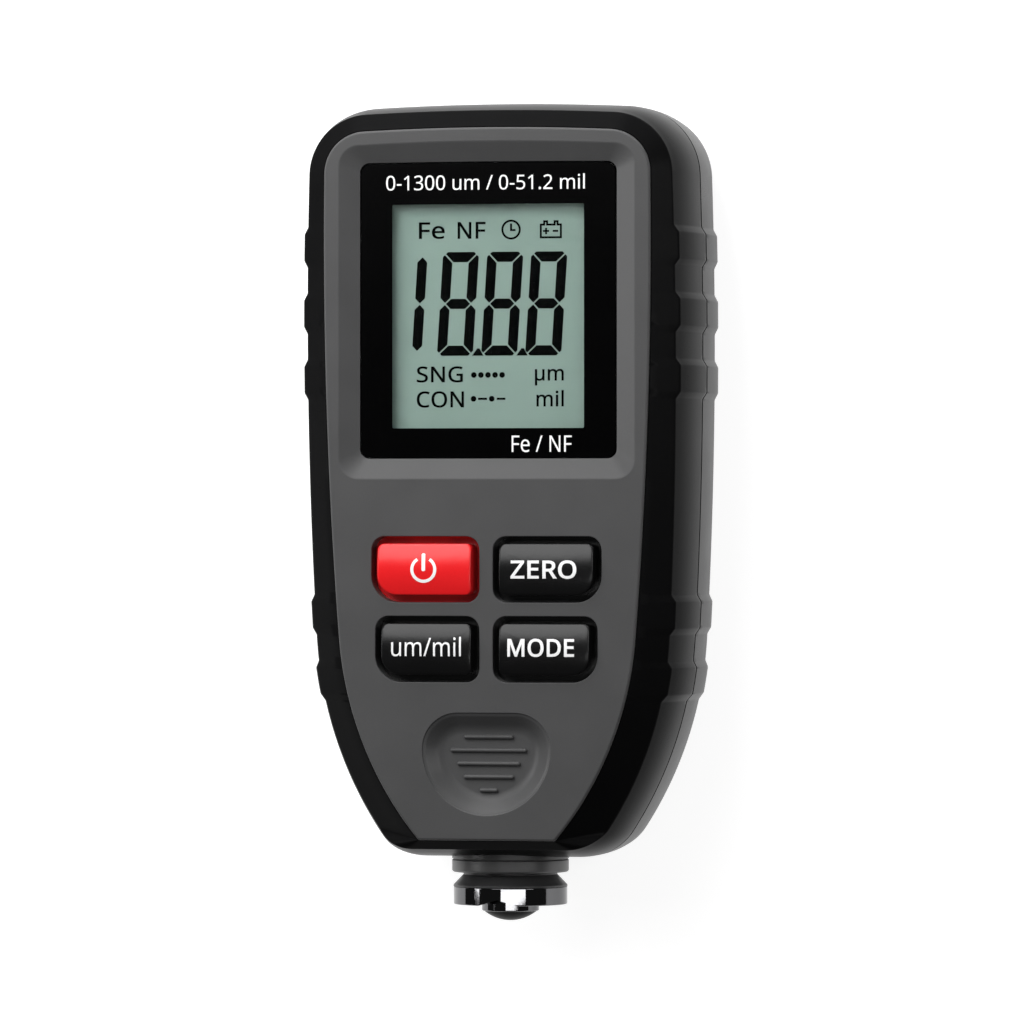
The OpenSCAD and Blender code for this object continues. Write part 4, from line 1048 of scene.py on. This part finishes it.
class GAUGE_OT_face_panel(bpy.types.Operator):
    """Build the face panel with its display recess, key openings and thumb scoop"""

    bl_idname = "gauge.face_panel"
    bl_label = "Face Panel"

    def execute(self, context):
        p = sizes("panel")
        piece = self.plate(p)
        self.recess(piece, p)
        for corners in key_corners().values():
            combine(piece, self.key_opening(corners))
        combine(piece, self.scoop(p))
        dress(piece, panel_finish(), nodes=["face_panel"], angle=28.0)
        self.bars(p)
        return {"FINISHED"}

    def plate(self, p):
        """The panel's plate with a rounded border."""
        outline = panel_outline()
        stations = side_stations()
        border = [at(outline.ring(stations), PANEL_UNDER)]
        steps = 6
        for k in range(steps + 1):
            turn = math.pi / 2 * k / steps
            inset = p.border * (1 - math.cos(turn))
            z = FACE - p.border * (1 - math.sin(turn))
            border.append(at(outline.grown(-inset).ring(stations), z))
        return loft("face_panel_moulding", border)

    def recess(self, piece, p):
        """Add the block behind the display, then cut the bevelled recess and the well of the display."""
        rim, drop, overlap = metres((1.2, 1.1, 0.3))
        lens_clear, lens_seat, well_clear, soft = metres((0.1, 0.2, 0.4, 0.14))
        back = prism("well_block", lens_ring(rim), PANEL_UNDER - drop, PANEL_UNDER + overlap)
        combine(piece, back, "UNION")
        bow = (LENS_HIGH.x + p.bevel) ** 2 / (2 * sizes("housing").top_radius)
        foot = lens_ring(lens_clear)
        slope = at(lens_ring(p.bevel, p.bevel / 2, bow), FACE)
        base = at(foot, LENS_HIGH.z)
        over_edge = at(lens_ring(p.bevel + soft, p.bevel / 2 + soft, bow), FACE + HAIR)
        rings = [at(foot, LENS_LOW.z - lens_seat), base]
        rings += [mix_rings(base, slope, t) for t in (0.3, 0.6)]
        rings += bend(mix_rings(base, slope, 0.94), slope, over_edge, 5)
        rings.append([v + Vector((0, 0, OVER)) for v in over_edge])
        combine(piece, loft("recess", rings))
        well_x = LCD_HIGH.x + well_clear
        combine(piece, block("display_well", -well_x, LCD_LOW.y - well_clear, PANEL_UNDER - OVER, well_x,
                             LCD_HIGH.y + well_clear, FACE))

    def key_opening(self, corners):
        """A tool for a key's opening with a rounded lip."""
        lip = 0.12 * MM

        def ring(grow):
            return rounded(spread(corners, sizes("keys").clear + grow), 10)

        return loft("key_opening", flared(ring, PANEL_UNDER - OVER, lip))

    def scoop(self, p):
        """A tool for the thumb scoop with a rounded edge."""
        edge = 0.14 * MM
        clear_of_edge = edge * 1.1
        rings = []
        for k in range(SCOOP_RINGS):
            run = k / SCOOP_RINGS
            z = FACE - p.scoop_depth * (1 - scoop_rise(run))
            if z < FACE - clear_of_edge:
                rings.append(at(scoop_ring(p.scoop_side * (run - 1)), z))
        return loft("scoop", rings + flared(scoop_ring, FACE - edge, edge)[1:])

    def bars(self, p):
        """Raised bars across the scoop's floor."""
        rise, step = 0.12 * MM, 0.06 * MM
        z = FACE - p.scoop_depth + rise
        verts = []
        edges = []
        for k, length in enumerate(p.bar_lengths):
            y = p.bar_height - k * p.bar_pitch
            verts += [(-length / 2, y, z), (length / 2, y, z)]
            edges.append((2 * k, 2 * k + 1))
        piece = new_piece("scoop_bars", verts, [], edges)
        grow(piece, bar_tree(panel_finish()), {"Radius": p.bar_width / 2, "Step": step})
        dress(piece, panel_finish(), angle=60.0)


class GAUGE_OT_keys(bpy.types.Operator):
    """Build the four keys with crowned tops, and their legends"""

    bl_idname = "gauge.keys"
    bl_label = "Keys"

    def execute(self, context):
        c = sizes("colours")
        red = finish("red key", c.red, (0.2, 0.25), grain=0.3, depth=0.0003, vary=0.04)
        black = finish("black key", c.black, (0.2, 0.25), grain=0.3, depth=0.0003)
        for node, corners in key_corners().items():
            body = node.replace("key", "button")
            is_power = node == "power_key"
            self.key(node, corners, red if is_power else black, "red_key" if is_power else "black_key", body)
        self.legends()
        return {"FINISHED"}

    def top_z(self, node, p):
        """Height of a key's crowned top."""
        k = sizes("keys")
        y = k.height - (k.pitch if node in ("unit_key", "mode_key") else 0.0)
        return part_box(node)[1].z - k.crown * ((p.imag - y) / (k.length / 2 - k.bevel)) ** 2

    def key(self, node, corners, material, slot, body):
        k = sizes("keys")
        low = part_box(node)[0].z
        stem, reach, flange_thick = metres((-2.0, 0.6, 1.0))
        flange = PANEL_UNDER - flange_thick
        shares = (0.965, 0.9, 0.75, 0.55, 0.35, 0.15, 0.02)

        def ring(e):
            return rounded(spread(corners, e), 12, 6)

        def crowned(points):
            return [Vector((p.real, p.imag, self.top_z(node, p))) for p in points]

        rim = ring(-k.bevel)
        middle = sum(rim) / len(rim)
        foot = at(ring(k.draft - k.bevel), PANEL_UNDER)
        corner = crowned(rim)
        rings = [at(ring(stem), low), at(ring(stem), flange), at(ring(reach), flange),
                 at(ring(reach), PANEL_UNDER), foot]
        rings += [mix_rings(foot, corner, t) for t in (0.3, 0.6)]
        inner = [crowned([middle + (p - middle) * t for p in rim]) for t in shares]
        rings += bend(mix_rings(foot, corner, 0.93), corner, inner[0], 5)
        rings += inner[1:]
        piece = loft(node + "_cap", rings)
        dress(piece, material, body, [node], angle=50.0)

    def legends(self):
        """White legends laid on the crowned tops."""
        thick = sizes("display").mark_thickness
        words = {
            "zero_key": ("ZERO", (3.3, -8.2), (11.68, -5.9), 0.013),
            "mode_key": ("MODE", (2.9, -17.87), (11.38, -15.6), 0.013),
            "unit_key": ("um/mil", (-11.93, -17.85), (-3.02, -15.4), 0.0),
        }
        for node, (text, low, high, bold) in words.items():
            piece = lettering(node + "_legend", text, metres(low), metres(high), 0.0, thick, bold)
            self.lay(piece, node)
        middle = complex(-7.82, -7.06) * MM
        radius, stroke, half, foot, head, soft = metres((1.66, 0.38, 0.23, -0.2, 2.0, 0.18))
        gap = math.radians(32)
        ring = hoop("ring", middle, radius, stroke, math.pi / 2 + gap, 2.5 * math.pi - gap, 0.0, thick)
        bar = rounded(box_corners(middle.real - half, middle.imag + foot, middle.real + half,
                                  middle.imag + head, soft))
        self.lay(join("power_key_legend", [ring, plates("bar", [bar], 0.0, thick)]), "power_key")

    def lay(self, piece, node):
        """Cut a legend into strips so that it follows the crown, and lay it on the key."""
        work = bmesh.new()
        work.from_mesh(piece.data)
        low = min(v.co.y for v in work.verts)
        high = max(v.co.y for v in work.verts)
        strips = 12
        lift = 0.004 * MM
        for k in range(1, strips):
            whole = work.verts[:] + work.edges[:] + work.faces[:]
            cut = (0, mix(low, high, k / strips), 0)
            bmesh.ops.bisect_plane(work, geom=whole, plane_co=cut, plane_no=(0, 1, 0))
        for v in work.verts:
            v.co.z += self.top_z(node, complex(v.co.x, v.co.y)) + lift
        work.to_mesh(piece.data)
        work.free()
        dress(piece, legend_finish(), node.replace("key", "button"))


# Display


def one_shapes(left, base):
    """Outlines of a lone one, two upright segments with pointed ends."""
    d = sizes("display")
    half = d.digit_stroke / 2
    middle = base + d.digit_height / 2
    short = 0.62 * MM
    slit = d.digit_slit / 2
    point = left + half
    right = left + 2 * half
    shapes = []
    for low, high in ((base + short, middle - slit), (middle + slit, base + d.digit_height - short)):
        shapes.append([complex(left, low + half), complex(point, low), complex(right, low + half),
                       complex(right, high - half), complex(point, high), complex(left, high - half)])
    return shapes


def segment_shapes(start, base):
    """Outlines of a digit's segments before they lean, with cut outer corners and slanted slits."""
    d = sizes("display")
    t, cut = d.digit_stroke, d.digit_chamfer
    slit = d.digit_slit / math.sqrt(2)
    half, nip = t / 2, cut / 2
    left, right = start, start + d.digit_width
    middle, top = base + d.digit_height / 2, base + d.digit_height

    def across(shape):
        return [complex(left + right - p.real, p.imag) for p in shape]

    def below(shape):
        return [complex(p.real, 2 * middle - p.imag) for p in shape]

    cap = [complex(left + cut, top), complex(left + nip + slit / 2, top - nip + slit / 2),
           complex(left + t + slit, top - t)]
    cap += across(cap[::-1])
    post = [complex(left, top - cut), complex(left, middle + half + slit),
            complex(left + half, middle + slit), complex(left + t, middle + half + slit),
            complex(left + t, top - t - slit), complex(left + nip - slit / 2, top - nip - slit / 2)]
    bar = [complex(left + t + slit, middle + half), complex(left + half + slit, middle),
           complex(left + t + slit, middle - half)]
    bar += across(bar[::-1])
    return [cap, across(post), below(across(post)), below(cap), below(post), post, bar]


def flat_boxes(boxes):
    """Outlines of boxes given in millimetres as left, low, right and high."""
    return [[complex(x, y) * MM for x, y, _ in box_corners(*box, 0)] for box in boxes]


class GAUGE_OT_display(bpy.types.Operator):
    """Build the lens with its black print, the liquid crystal panel and its marks, with the print's shadow
    painted as a darker strip along the top of the window
    """

    bl_idname = "gauge.display"
    bl_label = "Display"

    def execute(self, context):
        self.lens()
        self.print_mask()
        self.glass()
        self.digits()
        self.marks()
        return {"FINISHED"}

    def lens(self):
        soft = 0.08 * MM
        rings = [at(lens_ring(-soft), LENS_LOW.z), at(lens_ring(), LENS_LOW.z + soft),
                 at(lens_ring(), LENS_HIGH.z - soft), at(lens_ring(-soft), LENS_HIGH.z)]
        clear = finish("clear lens", (0.96, 0.97, 0.97), (0.02, 0.04), grain=1.0, depth=0.0001, vary=0.01,
                       Transmission_Weight=1.0, IOR=1.2)
        dress(loft("lens_plate", rings), clear, nodes=["display_lens"])

    def print_mask(self):
        d = sizes("display")
        half, low, high = d.window
        corner, inset = 0.15 * MM, 0.08 * MM
        window = rounded(box_corners(-half, low, half, high, corner), 12, 12)
        outer = lens_ring(-inset)
        z0, z1 = LENS_HIGH.z, LENS_HIGH.z + d.print_thickness
        black = finish("lens print", (0.001, 0.001, 0.0011), (0.16, 0.22), grain=0.5, depth=0.0002,
                       Specular_IOR_Level=0.03)
        piece = loft("lens_print", [at(outer, z0), at(outer, z1), at(window, z1), at(window, z0)], loop=True)
        dress(piece, black)
        lines = (("range_line", "0-1300 um / 0-51.2 mil", (-13.03, 40.06), (12.35, 42.0)),
                 ("base_line", "Fe / NF", (3.04, 7.5), (10.69, 9.55)))
        for name, words, low, high in lines:
            line = lettering(name, words, metres(low), metres(high), z1, d.mark_thickness)
            dress(line, legend_finish())

    def glass(self):
        soft, corner, band_low = metres((0.1, 0.2, 37.45))
        # Share of the display's green kept in the painted shadow that the lens print casts along the window's
        # top edge
        shadow_darkening = 0.9
        grains = {"grain": 0.09, "depth": 0.0004, "vary": 0.02}

        def ring(e):
            return rounded(box_corners(LCD_LOW.x - e, LCD_LOW.y - e, LCD_HIGH.x + e, LCD_HIGH.y + e, corner))

        rings = [at(ring(-soft), LCD_LOW.z), at(ring(0.0), LCD_LOW.z + soft),
                 at(ring(0.0), LCD_HIGH.z - soft), at(ring(-soft), LCD_HIGH.z)]
        green = sizes("colours").glass
        glass = finish("display glass", green, (0.42, 0.5), Specular_IOR_Level=0.1, **grains)
        dress(loft("display_glass", rings), glass, nodes=["lcd_panel"])
        left, right, high = LCD_LOW.x + soft, LCD_HIGH.x - soft, LCD_HIGH.y - soft
        # A darker strip along the window's top edge: a painted shadow of the lens print, not a mark on the
        # display
        band = [complex(left, band_low), complex(right, band_low), complex(right, high), complex(left, high)]
        shadow_finish = finish("display painted shadow", [v * shadow_darkening for v in green], (0.42, 0.5), **grains)
        dress(plates("display_painted_shadow", [band], LCD_HIGH.z, sizes("display").mark_thickness), shadow_finish)

    def digits(self):
        """The leaning digits with their decimal points."""
        d = sizes("display")
        base = d.digit_base
        lean = 0.063
        point_gap = 0.62 * MM
        point = ((-0.72, 0.0), (0.74, 0.0), (0.2, 0.9), (-0.12, 0.9))
        shapes = []
        for start in d.digit_starts:
            shapes += segment_shapes(start, base)
        shapes += one_shapes(d.one_start, base)
        for start in d.digit_starts[:2]:
            foot = complex(start + d.digit_width + point_gap, base)
            shapes.append([foot + complex(*corner) * MM for corner in point])
        middle = base + d.digit_height / 2
        shapes = [[complex(p.real + (p.imag - middle) * lean, p.imag) for p in shape] for shape in shapes]
        digits = plates("display_digits", shapes, LCD_HIGH.z, d.mark_thickness)
        dress(digits, mark_finish())

    def marks(self):
        """The small words, dots, clock and battery sign round the digits, their places in millimetres."""
        z = LCD_HIGH.z
        thick = sizes("display").mark_thickness
        bold = 0.009
        words = [("Fe", (-9.14, 34.04), (-5.83, 36.13)), ("NF", (-4.18, 34.04), (-0.6, 36.13)),
                 ("SNG", (-9.42, 16.18), (-3.5, 18.2)), ("CON", (-9.42, 13.05), (-3.36, 15.1)),
                 ("μm", (5.7, 15.76), (9.38, 17.82)), ("mil", (5.9, 13.16), (9.38, 15.2))]
        parts = []
        for text, low, high in words:
            parts.append(lettering("mark", text, metres(low), metres(high), z, thick, bold))
        dot, dash_soft, clock_radius, clock_stroke = metres((0.36, 0.05, 1.24, 0.26))
        dots = [(-2.1 + 0.905 * k, 17.1) for k in range(5)] + [(-2.14, 14.14), (0.19, 14.14)]
        rounds = [circle(complex(x, y) * MM, dot, 20) for x, y in dots]
        for dash in ((-1.56, 14.0, -0.41, 14.27), (0.83, 14.0, 1.94, 14.27)):
            rounds.append(rounded(box_corners(*metres(dash), dash_soft)))
        parts.append(plates("dots", rounds, z, thick))
        clock = complex(2.66, 35.14) * MM
        parts.append(hoop("clock_ring", clock, clock_radius, clock_stroke, 0, 2 * math.pi, z, thick))
        hands = [(2.53, 35.05, 2.79, 35.9), (2.53, 34.96, 3.23, 35.2)]
        parts.append(plates("hands", flat_boxes(hands), z, thick))
        inset = 0.25
        cell = [(6.33, 34.02), (9.14, 34.02), (9.14, 35.85), (8.71, 35.85), (8.71, 36.26), (8.09, 36.26),
                (8.09, 35.85), (7.38, 35.85), (7.38, 36.26), (6.76, 36.26), (6.76, 35.85), (6.33, 35.85)]
        moves = ((1, 1), (-1, 1), (-1, -1), (-1, -1), (-1, -1), (1, -1),
                 (1, -1), (-1, -1), (-1, -1), (1, -1), (1, -1), (1, -1))
        inner = [(x + inset * dx, y + inset * dy) for (x, y), (dx, dy) in zip(cell, moves)]
        outer, inner = [[complex(*p) * MM for p in line] for line in (cell, inner)]
        rings = [at(outer, z), at(outer, z + thick), at(inner, z + thick), at(inner, z)]
        parts.append(loft("cell_case", rings, loop=True))
        signs = [(6.73, 34.82, 7.51, 35.05), (7.01, 34.54, 7.24, 35.32), (7.97, 34.82, 8.67, 35.05)]
        parts.append(plates("signs", flat_boxes(signs), z, thick))
        dress(join("display_marks", parts), mark_finish())


# Probe


class GAUGE_OT_probe(bpy.types.Operator):
    """Turn the probe's collar, sleeve, notched skirt, plunger and dome"""

    bl_idname = "gauge.probe"
    bl_label = "Probe"

    def execute(self, context):
        p = sizes("probe")
        self.collar(p)
        self.sleeve_and_skirt(p)
        self.plunger(p)
        return {"FINISHED"}

    def collar(self, p):
        low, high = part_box("probe_collar")
        radius = high.x
        clear, soft, groove_edge, groove_foot = metres((0.08, 0.3, 0.05, 0.03))
        bore = p.plunger / 2 + clear
        flange_top = low.y + p.flange
        back = high.y - p.back_flange[1]
        neck = p.neck / 2
        line = low.y + p.groove[0]
        half, inner = p.groove[1] / 2, radius - p.groove[1]
        back_radius = p.back_flange[0] / 2
        profile = rounded([(bore, low.y, 0), (radius, low.y, soft), (radius, line - half, groove_edge),
                           (inner, line, groove_foot), (radius, line + half, groove_edge),
                           (radius, flange_top, soft), (neck, flange_top, 0), (neck, back, 0),
                           (back_radius, back, 0), (back_radius, high.y, 0), (bore, high.y, 0)])
        satin = finish("satin black collar", (0.08, 0.08, 0.081), (0.34, 0.42), grain=0.2, depth=0.001,
                       stretch=(0.2, 3.0, 0.2), Specular_IOR_Level=0.8)
        dress(lathe("collar_turning", profile), satin, nodes=["probe_collar"])

    def sleeve_and_skirt(self, p):
        low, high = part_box("probe_sleeve")
        radius = high.x
        bore = p.bore / 2
        neck = p.sleeve_neck / 2
        rim, rim_edge, soft, neck_length, neck_soft = metres((0.25, 0.05, 0.1, 0.3, 0.12))
        profile = rounded([(bore, low.y, 0), (radius, low.y, rim_edge), (radius, low.y + rim, soft),
                           (neck, high.y - neck_length, neck_soft), (neck, high.y, 0), (bore, high.y, 0)])
        dress(lathe("sleeve_turning", profile), black_metal_finish(), nodes=["probe_sleeve"])
        low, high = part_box("probe_skirt")
        profile = rounded([(bore, low.y, soft), (radius, low.y, p.edge), (radius, high.y, soft),
                           (bore, high.y, 0)])
        piece = lathe("skirt_turning", profile)
        width, depth = p.notch
        outer = width / 2 * (1 + OVER / depth)
        notch = [complex(-outer, low.y - OVER), complex(outer, low.y - OVER), complex(0, low.y + depth)]
        combine(piece, prism("notch", notch, AXIS - 2 * radius, AXIS + 2 * radius))
        dress(piece, chrome_finish(), nodes=["probe_skirt"])

    def plunger(self, p):
        low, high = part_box("probe_plunger")
        collar_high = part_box("probe_collar")[1].y
        radius = p.plunger / 2
        bore = p.plunger_bore / 2
        nose, soft = 1.3 * MM, 0.1 * MM
        bore_low = low.y + nose
        profile = rounded([(0, low.y, 0), (radius, low.y, p.edge), (radius, collar_high, 0),
                           (high.x, collar_high, soft), (high.x, high.y, soft), (bore, high.y, 0),
                           (bore, bore_low, 0), (0, bore_low, 0)])
        turning = lathe("plunger_turning", profile)
        dress(turning, chrome_finish(), "probe", ["probe_plunger"])
        low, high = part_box("probe_tip")
        height = high.y - low.y
        dome = (high.x ** 2 + height ** 2) / (2 * height)
        reach = math.asin(high.x / dome)
        steps = 24
        curve = [complex(dome * math.sin(a), low.y + dome - dome * math.cos(a))
                 for a in (reach * k / steps for k in range(steps + 1))]
        dark = finish("dark tip", (0.015, 0.015, 0.016), (0.3, 0.4), grain=0.25, depth=0.002,
                      Specular_IOR_Level=0.03)
        dress(lathe("tip_dome", curve + [complex(0, high.y)]), dark, "probe", ["probe_tip"])


# Small parts


SCREW_HEAD = 2.1 * MM


def screw_places():
    """Places of the housing screws, the lower pair closer together."""
    low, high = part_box("housing_screws")
    x_high, x_low = high.x - SCREW_HEAD, 13.6 * MM
    y_high, y_low = high.y - SCREW_HEAD, low.y + SCREW_HEAD
    return [(x_high, y_high), (-x_high, y_high), (x_low, y_low), (-x_low, y_low)]


class GAUGE_OT_screws(bpy.types.Operator):
    """Set the cross-head housing screws in their wells"""

    bl_idname = "gauge.screws"
    bl_label = "Housing Screws"

    def execute(self, context):
        low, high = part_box("housing_screws")
        dark = finish("dark screw", (0.06, 0.06, 0.064), (0.26, 0.36), grain=0.2, depth=0.001, Metallic=1.0)
        piece = new_piece("cross_head_screws", [(x, y, low.z) for x, y in screw_places()], [])
        head, shank_radius, slot_long, slot_wide, slot_deep = metres((1.4, 1.1, 2.5, 0.5, 1.4))
        shank = high.z - low.z - head
        values = {"Head Radius": SCREW_HEAD, "Head Height": head, "Head Place": (0, 0, 0),
                  "Shank Radius": shank_radius, "Shank Length": shank,
                  "Shank Place": (0, 0, head + shank / 2), "Slot": (slot_long, slot_wide, slot_deep),
                  "Cross Slot": (slot_wide, slot_long, slot_deep)}
        grow(piece, screw_tree(dark), values)
        dress(piece, dark, nodes=["housing_screws"])
        return {"FINISHED"}


class GAUGE_OT_springs(bpy.types.Operator):
    """Wind the probe's spring and the two battery contact springs"""

    bl_idname = "gauge.springs"
    bl_label = "Springs"

    def execute(self, context):
        steel = steel_finish()
        tree = coil_tree(steel)
        low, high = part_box("probe_spring")
        wire = 0.35 * MM
        radius = high.x - wire
        turns, contact_turns = 5.0, 3.0
        length = high.y - low.y - 2 * wire
        coil = self.wind("probe_coil_spring", tree, (turns, radius, radius, length, wire))
        self.stand(coil, Vector((0, low.y + wire, AXIS)))
        dress(coil, steel, nodes=["probe_spring"], angle=60.0)
        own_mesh(coil)
        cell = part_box("battery_left")
        x = (cell[0].x + cell[1].x) / 2
        z = (cell[0].z + cell[1].z) / 2
        low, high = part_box("contact_springs")
        plate, thick, wire = metres((4.0, 0.4, 0.3))
        length = cell[0].y - low.y - thick - 2 * wire
        foot, head = plate - 2 * wire, plate / 2
        parts = []
        for side, y, way in ((1, low.y, 1), (-1, high.y, -1)):
            middle = side * x
            part = self.wind("contact_coil", tree, (contact_turns, foot, head, length, wire))
            self.stand(part, Vector((middle, y + way * (thick + wire), z)), way)
            y0, y1 = sorted((y, y + way * thick))
            sheet = block("contact_sheet", middle - plate, y0, z - plate, middle + plate, y1, z + plate)
            parts += [part, sheet]
        dress(join("contact_coils", parts), steel, nodes=["contact_springs"], angle=50.0)
        return {"FINISHED"}

    def wind(self, name, tree, values):
        piece = new_piece(name, [(0, 0, 0)], [])
        return grow(piece, tree, dict(zip(COIL_INPUTS, values)))

    def stand(self, piece, place, way=1):
        """Turn a coil from Z to Y and move it to its place."""
        for v in piece.data.vertices:
            x, y, z = v.co
            v.co = place + Vector((x, way * z, -way * y))


class GAUGE_OT_cells(bpy.types.Operator):
    """Build the two round cells"""

    bl_idname = "gauge.cells"
    bl_label = "Cells"

    def execute(self, context):
        jacket = finish("cell jacket", sizes("colours").jacket, (0.24, 0.32), grain=0.3, depth=0.0006)
        nub, nub_height, ring, soft, nub_soft = metres((1.9, 1.2, 1.2, 0.5, 0.3))
        bare_share = 0.8
        for node, way in (("battery_left", 1), ("battery_right", -1)):
            low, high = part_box(node)
            x = (low.x + high.x) / 2
            z = (low.z + high.z) / 2
            radius = (high.x - low.x) / 2
            length = high.y - low.y
            shoulder = length - nub_height
            lines = rounded([(0, 0, 0), (radius, 0, soft), (radius, shoulder, soft),
                             (nub + ring, shoulder, 0), (nub, shoulder, 0), (nub, length, nub_soft),
                             (0, length, 0)])
            start = low.y if way > 0 else high.y
            piece = lathe(node + "_cell", [complex(p.real, start + way * p.imag) for p in lines], x, z, 72)
            dress(piece, jacket, nodes=[node])
            piece.data.materials.append(steel_finish())
            for face in piece.data.polygons:
                off = math.hypot(face.center.x - x, face.center.z - z)
                face.material_index = 1 if off < radius * bare_share else 0
        return {"FINISHED"}


class GAUGE_OT_inner_parts(bpy.types.Operator):
    """Give the parts inside the housing their finishes"""

    bl_idname = "gauge.inner_parts"
    bl_label = "Inner Parts"

    def execute(self, context):
        rubber = finish("black rubber", (0.02, 0.02, 0.02), (0.65, 0.8), grain=0.2, depth=0.004)
        looks = {
            "lens_gasket": rubber,
            "zebra_strip": rubber,
            "lcd_frame": finish("white plastic", (0.78, 0.78, 0.76), (0.45, 0.55)),
            "circuit_board": finish("solder mask", (0.02, 0.16, 0.06), (0.25, 0.35), grain=0.5, depth=0.002),
            "main_chip": finish("chip black", (0.02, 0.02, 0.02), (0.5, 0.6)),
            "key_mat": finish("grey rubber", (0.3, 0.3, 0.3), (0.6, 0.75), grain=0.2, depth=0.004),
            "probe_core": finish("core iron", (0.1, 0.1, 0.11), (0.4, 0.5), Metallic=1.0),
            "probe_coil": finish("copper wire", (0.6, 0.28, 0.12), (0.25, 0.35), grain=0.15, depth=0.01,
                                 stretch=(0.1, 3.0, 0.1), Metallic=1.0),
            "contact_plates": steel_finish(),
            "board_screws": steel_finish(),
        }
        for node, material in looks.items():
            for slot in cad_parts[node].material_slots:
                slot.material = material
        return {"FINISHED"}


# Stage


def white_to_eye(tree, strength):
    """A strength that only the camera, reflections and clear parts see."""
    path = add(tree, "ShaderNodeLightPath").outputs
    seen = reckon(tree, "ADD", path["Is Camera Ray"], path["Is Glossy Ray"])
    seen = reckon(tree, "ADD", seen, path["Is Transmission Ray"], use_clamp=True)
    return reckon(tree, "MULTIPLY", seen, strength)


class GAUGE_OT_stage(bpy.types.Operator):
    """Set the pale floor, the soft lamps and the camera"""

    bl_idname = "gauge.stage"
    bl_label = "Stage"

    def execute(self, context):
        context.scene.view_settings.view_transform = "Standard"
        self.floor()
        self.world(context.scene)
        for name, place, aim, size, power, mirrored in LAMPS:
            self.lamp(name, place, aim, size, power, mirrored)
        self.camera(context.scene)
        return {"FINISHED"}

    def floor(self):
        reach, z = 1.6, -0.02 * MM
        shade, glow_strength = (0.38, 0.38, 0.38, 1.0), 0.87
        corners = [(-reach, -reach, z), (reach, -reach, z), (reach, reach, z), (-reach, reach, z)]
        piece = new_piece("floor", corners, [(0, 1, 2, 3)])
        material = bpy.data.materials.new("pale floor")
        material.use_nodes = True
        tree = material.node_tree
        tree.nodes.clear()
        matte = add(tree, "ShaderNodeBsdfDiffuse", {"Color": shade})
        strength = white_to_eye(tree, glow_strength)
        glow = add(tree, "ShaderNodeEmission", {"Color": WHITE, "Strength": strength})
        both = add(tree, "ShaderNodeAddShader", {0: matte.outputs[0], 1: glow.outputs[0]})
        add(tree, "ShaderNodeOutputMaterial", {"Surface": both.outputs[0]})
        piece.data.materials.append(material)

    def world(self, scene):
        level, camera_level = 0.04, 1.0
        world = bpy.data.worlds.new("studio")
        world.use_nodes = True
        tree = world.node_tree
        tree.nodes.clear()
        path = add(tree, "ShaderNodeLightPath").outputs["Is Camera Ray"]
        dim = add(tree, "ShaderNodeBackground", {"Color": WHITE, "Strength": level})
        white = add(tree, "ShaderNodeBackground", {"Color": WHITE, "Strength": camera_level})
        both = add(tree, "ShaderNodeMixShader", {0: path, 1: dim.outputs[0], 2: white.outputs[0]})
        add(tree, "ShaderNodeOutputWorld", {"Surface": both.outputs[0]})
        scene.world = world

    def lamp(self, name, place, aim, size, power, mirrored):
        light = bpy.data.lights.new(name, "AREA")
        light.shape = "RECTANGLE"
        light.size, light.size_y = size
        light.energy = power
        holder = bpy.data.objects.new(name, light)
        holder.location = place
        holder.visible_glossy = mirrored
        out = (Vector(place) - Vector(aim)).normalized()
        across = Vector((1, 0, 0)) - out * out.x
        across.normalize()
        holder.rotation_euler = Matrix((across, out.cross(across), out)).transposed().to_euler()
        bpy.context.scene.collection.objects.link(holder)

    def camera(self, scene):
        """A long lens a little to the right of the face's own normal, as high as the gauge's middle."""
        yaw = math.radians(13.5)
        distance = 1.0267
        aim_right, aim_up = 3.22 * MM, 0.07 * MM
        away = Vector((math.sin(yaw), 0.0, math.cos(yaw)))
        right = Vector((math.cos(yaw), 0.0, -math.sin(yaw)))
        target = Vector((0.0, aim_up, FACE)) + right * aim_right
        eye = bpy.data.cameras.new("photo_camera")
        eye.sensor_width = 36.0
        eye.lens = 291.1
        eye.clip_end = 10.0
        holder = bpy.data.objects.new("photo_camera", eye)
        holder.location = target + away * distance
        holder.rotation_euler = (0.0, yaw, 0.0)
        scene.collection.objects.link(holder)
        scene.camera = holder


GROUPS = {"housing": GaugeHousing, "panel": GaugePanel, "keys": GaugeKeys, "display": GaugeDisplay,
          "probe": GaugeProbe, "colours": GaugeColours}
OPERATORS = (GAUGE_OT_front_shell, GAUGE_OT_rear_shell, GAUGE_OT_battery_door, GAUGE_OT_face_panel,
             GAUGE_OT_keys, GAUGE_OT_display, GAUGE_OT_probe, GAUGE_OT_screws, GAUGE_OT_springs,
             GAUGE_OT_cells, GAUGE_OT_inner_parts, GAUGE_OT_stage)


class GAUGE_PT_pieces(bpy.types.Panel):
    """Lists the pieces, the sizes and the colours"""

    bl_idname = "GAUGE_PT_pieces"
    bl_label = "Coating Thickness Gauge"
    bl_space_type = "VIEW_3D"
    bl_region_type = "UI"
    bl_category = "Gauge"

    def draw(self, context):
        for operator in OPERATORS:
            self.layout.operator(operator.bl_idname)
        for group in GROUPS:
            box = self.layout.box()
            box.label(text=group.title())
            for key in GROUPS[group].__annotations__:
                box.prop(sizes(group), key)


CLASSES = tuple(GROUPS.values()) + OPERATORS + (GAUGE_PT_pieces,)


def register():
    for cls in CLASSES:
        bpy.utils.register_class(cls)
    for group, cls in GROUPS.items():
        setattr(bpy.types.Scene, "gauge_" + group, bpy.props.PointerProperty(type=cls))


def unregister():
    for group in GROUPS:
        delattr(bpy.types.Scene, "gauge_" + group)
    for cls in reversed(CLASSES):
        bpy.utils.unregister_class(cls)


def main():
    """Build every piece in order."""
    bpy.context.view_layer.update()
    register()
    for operator in OPERATORS:
        group, name = operator.bl_idname.split(".")
        getattr(getattr(bpy.ops, group), name)()


if __name__ == "__main__":
    main()
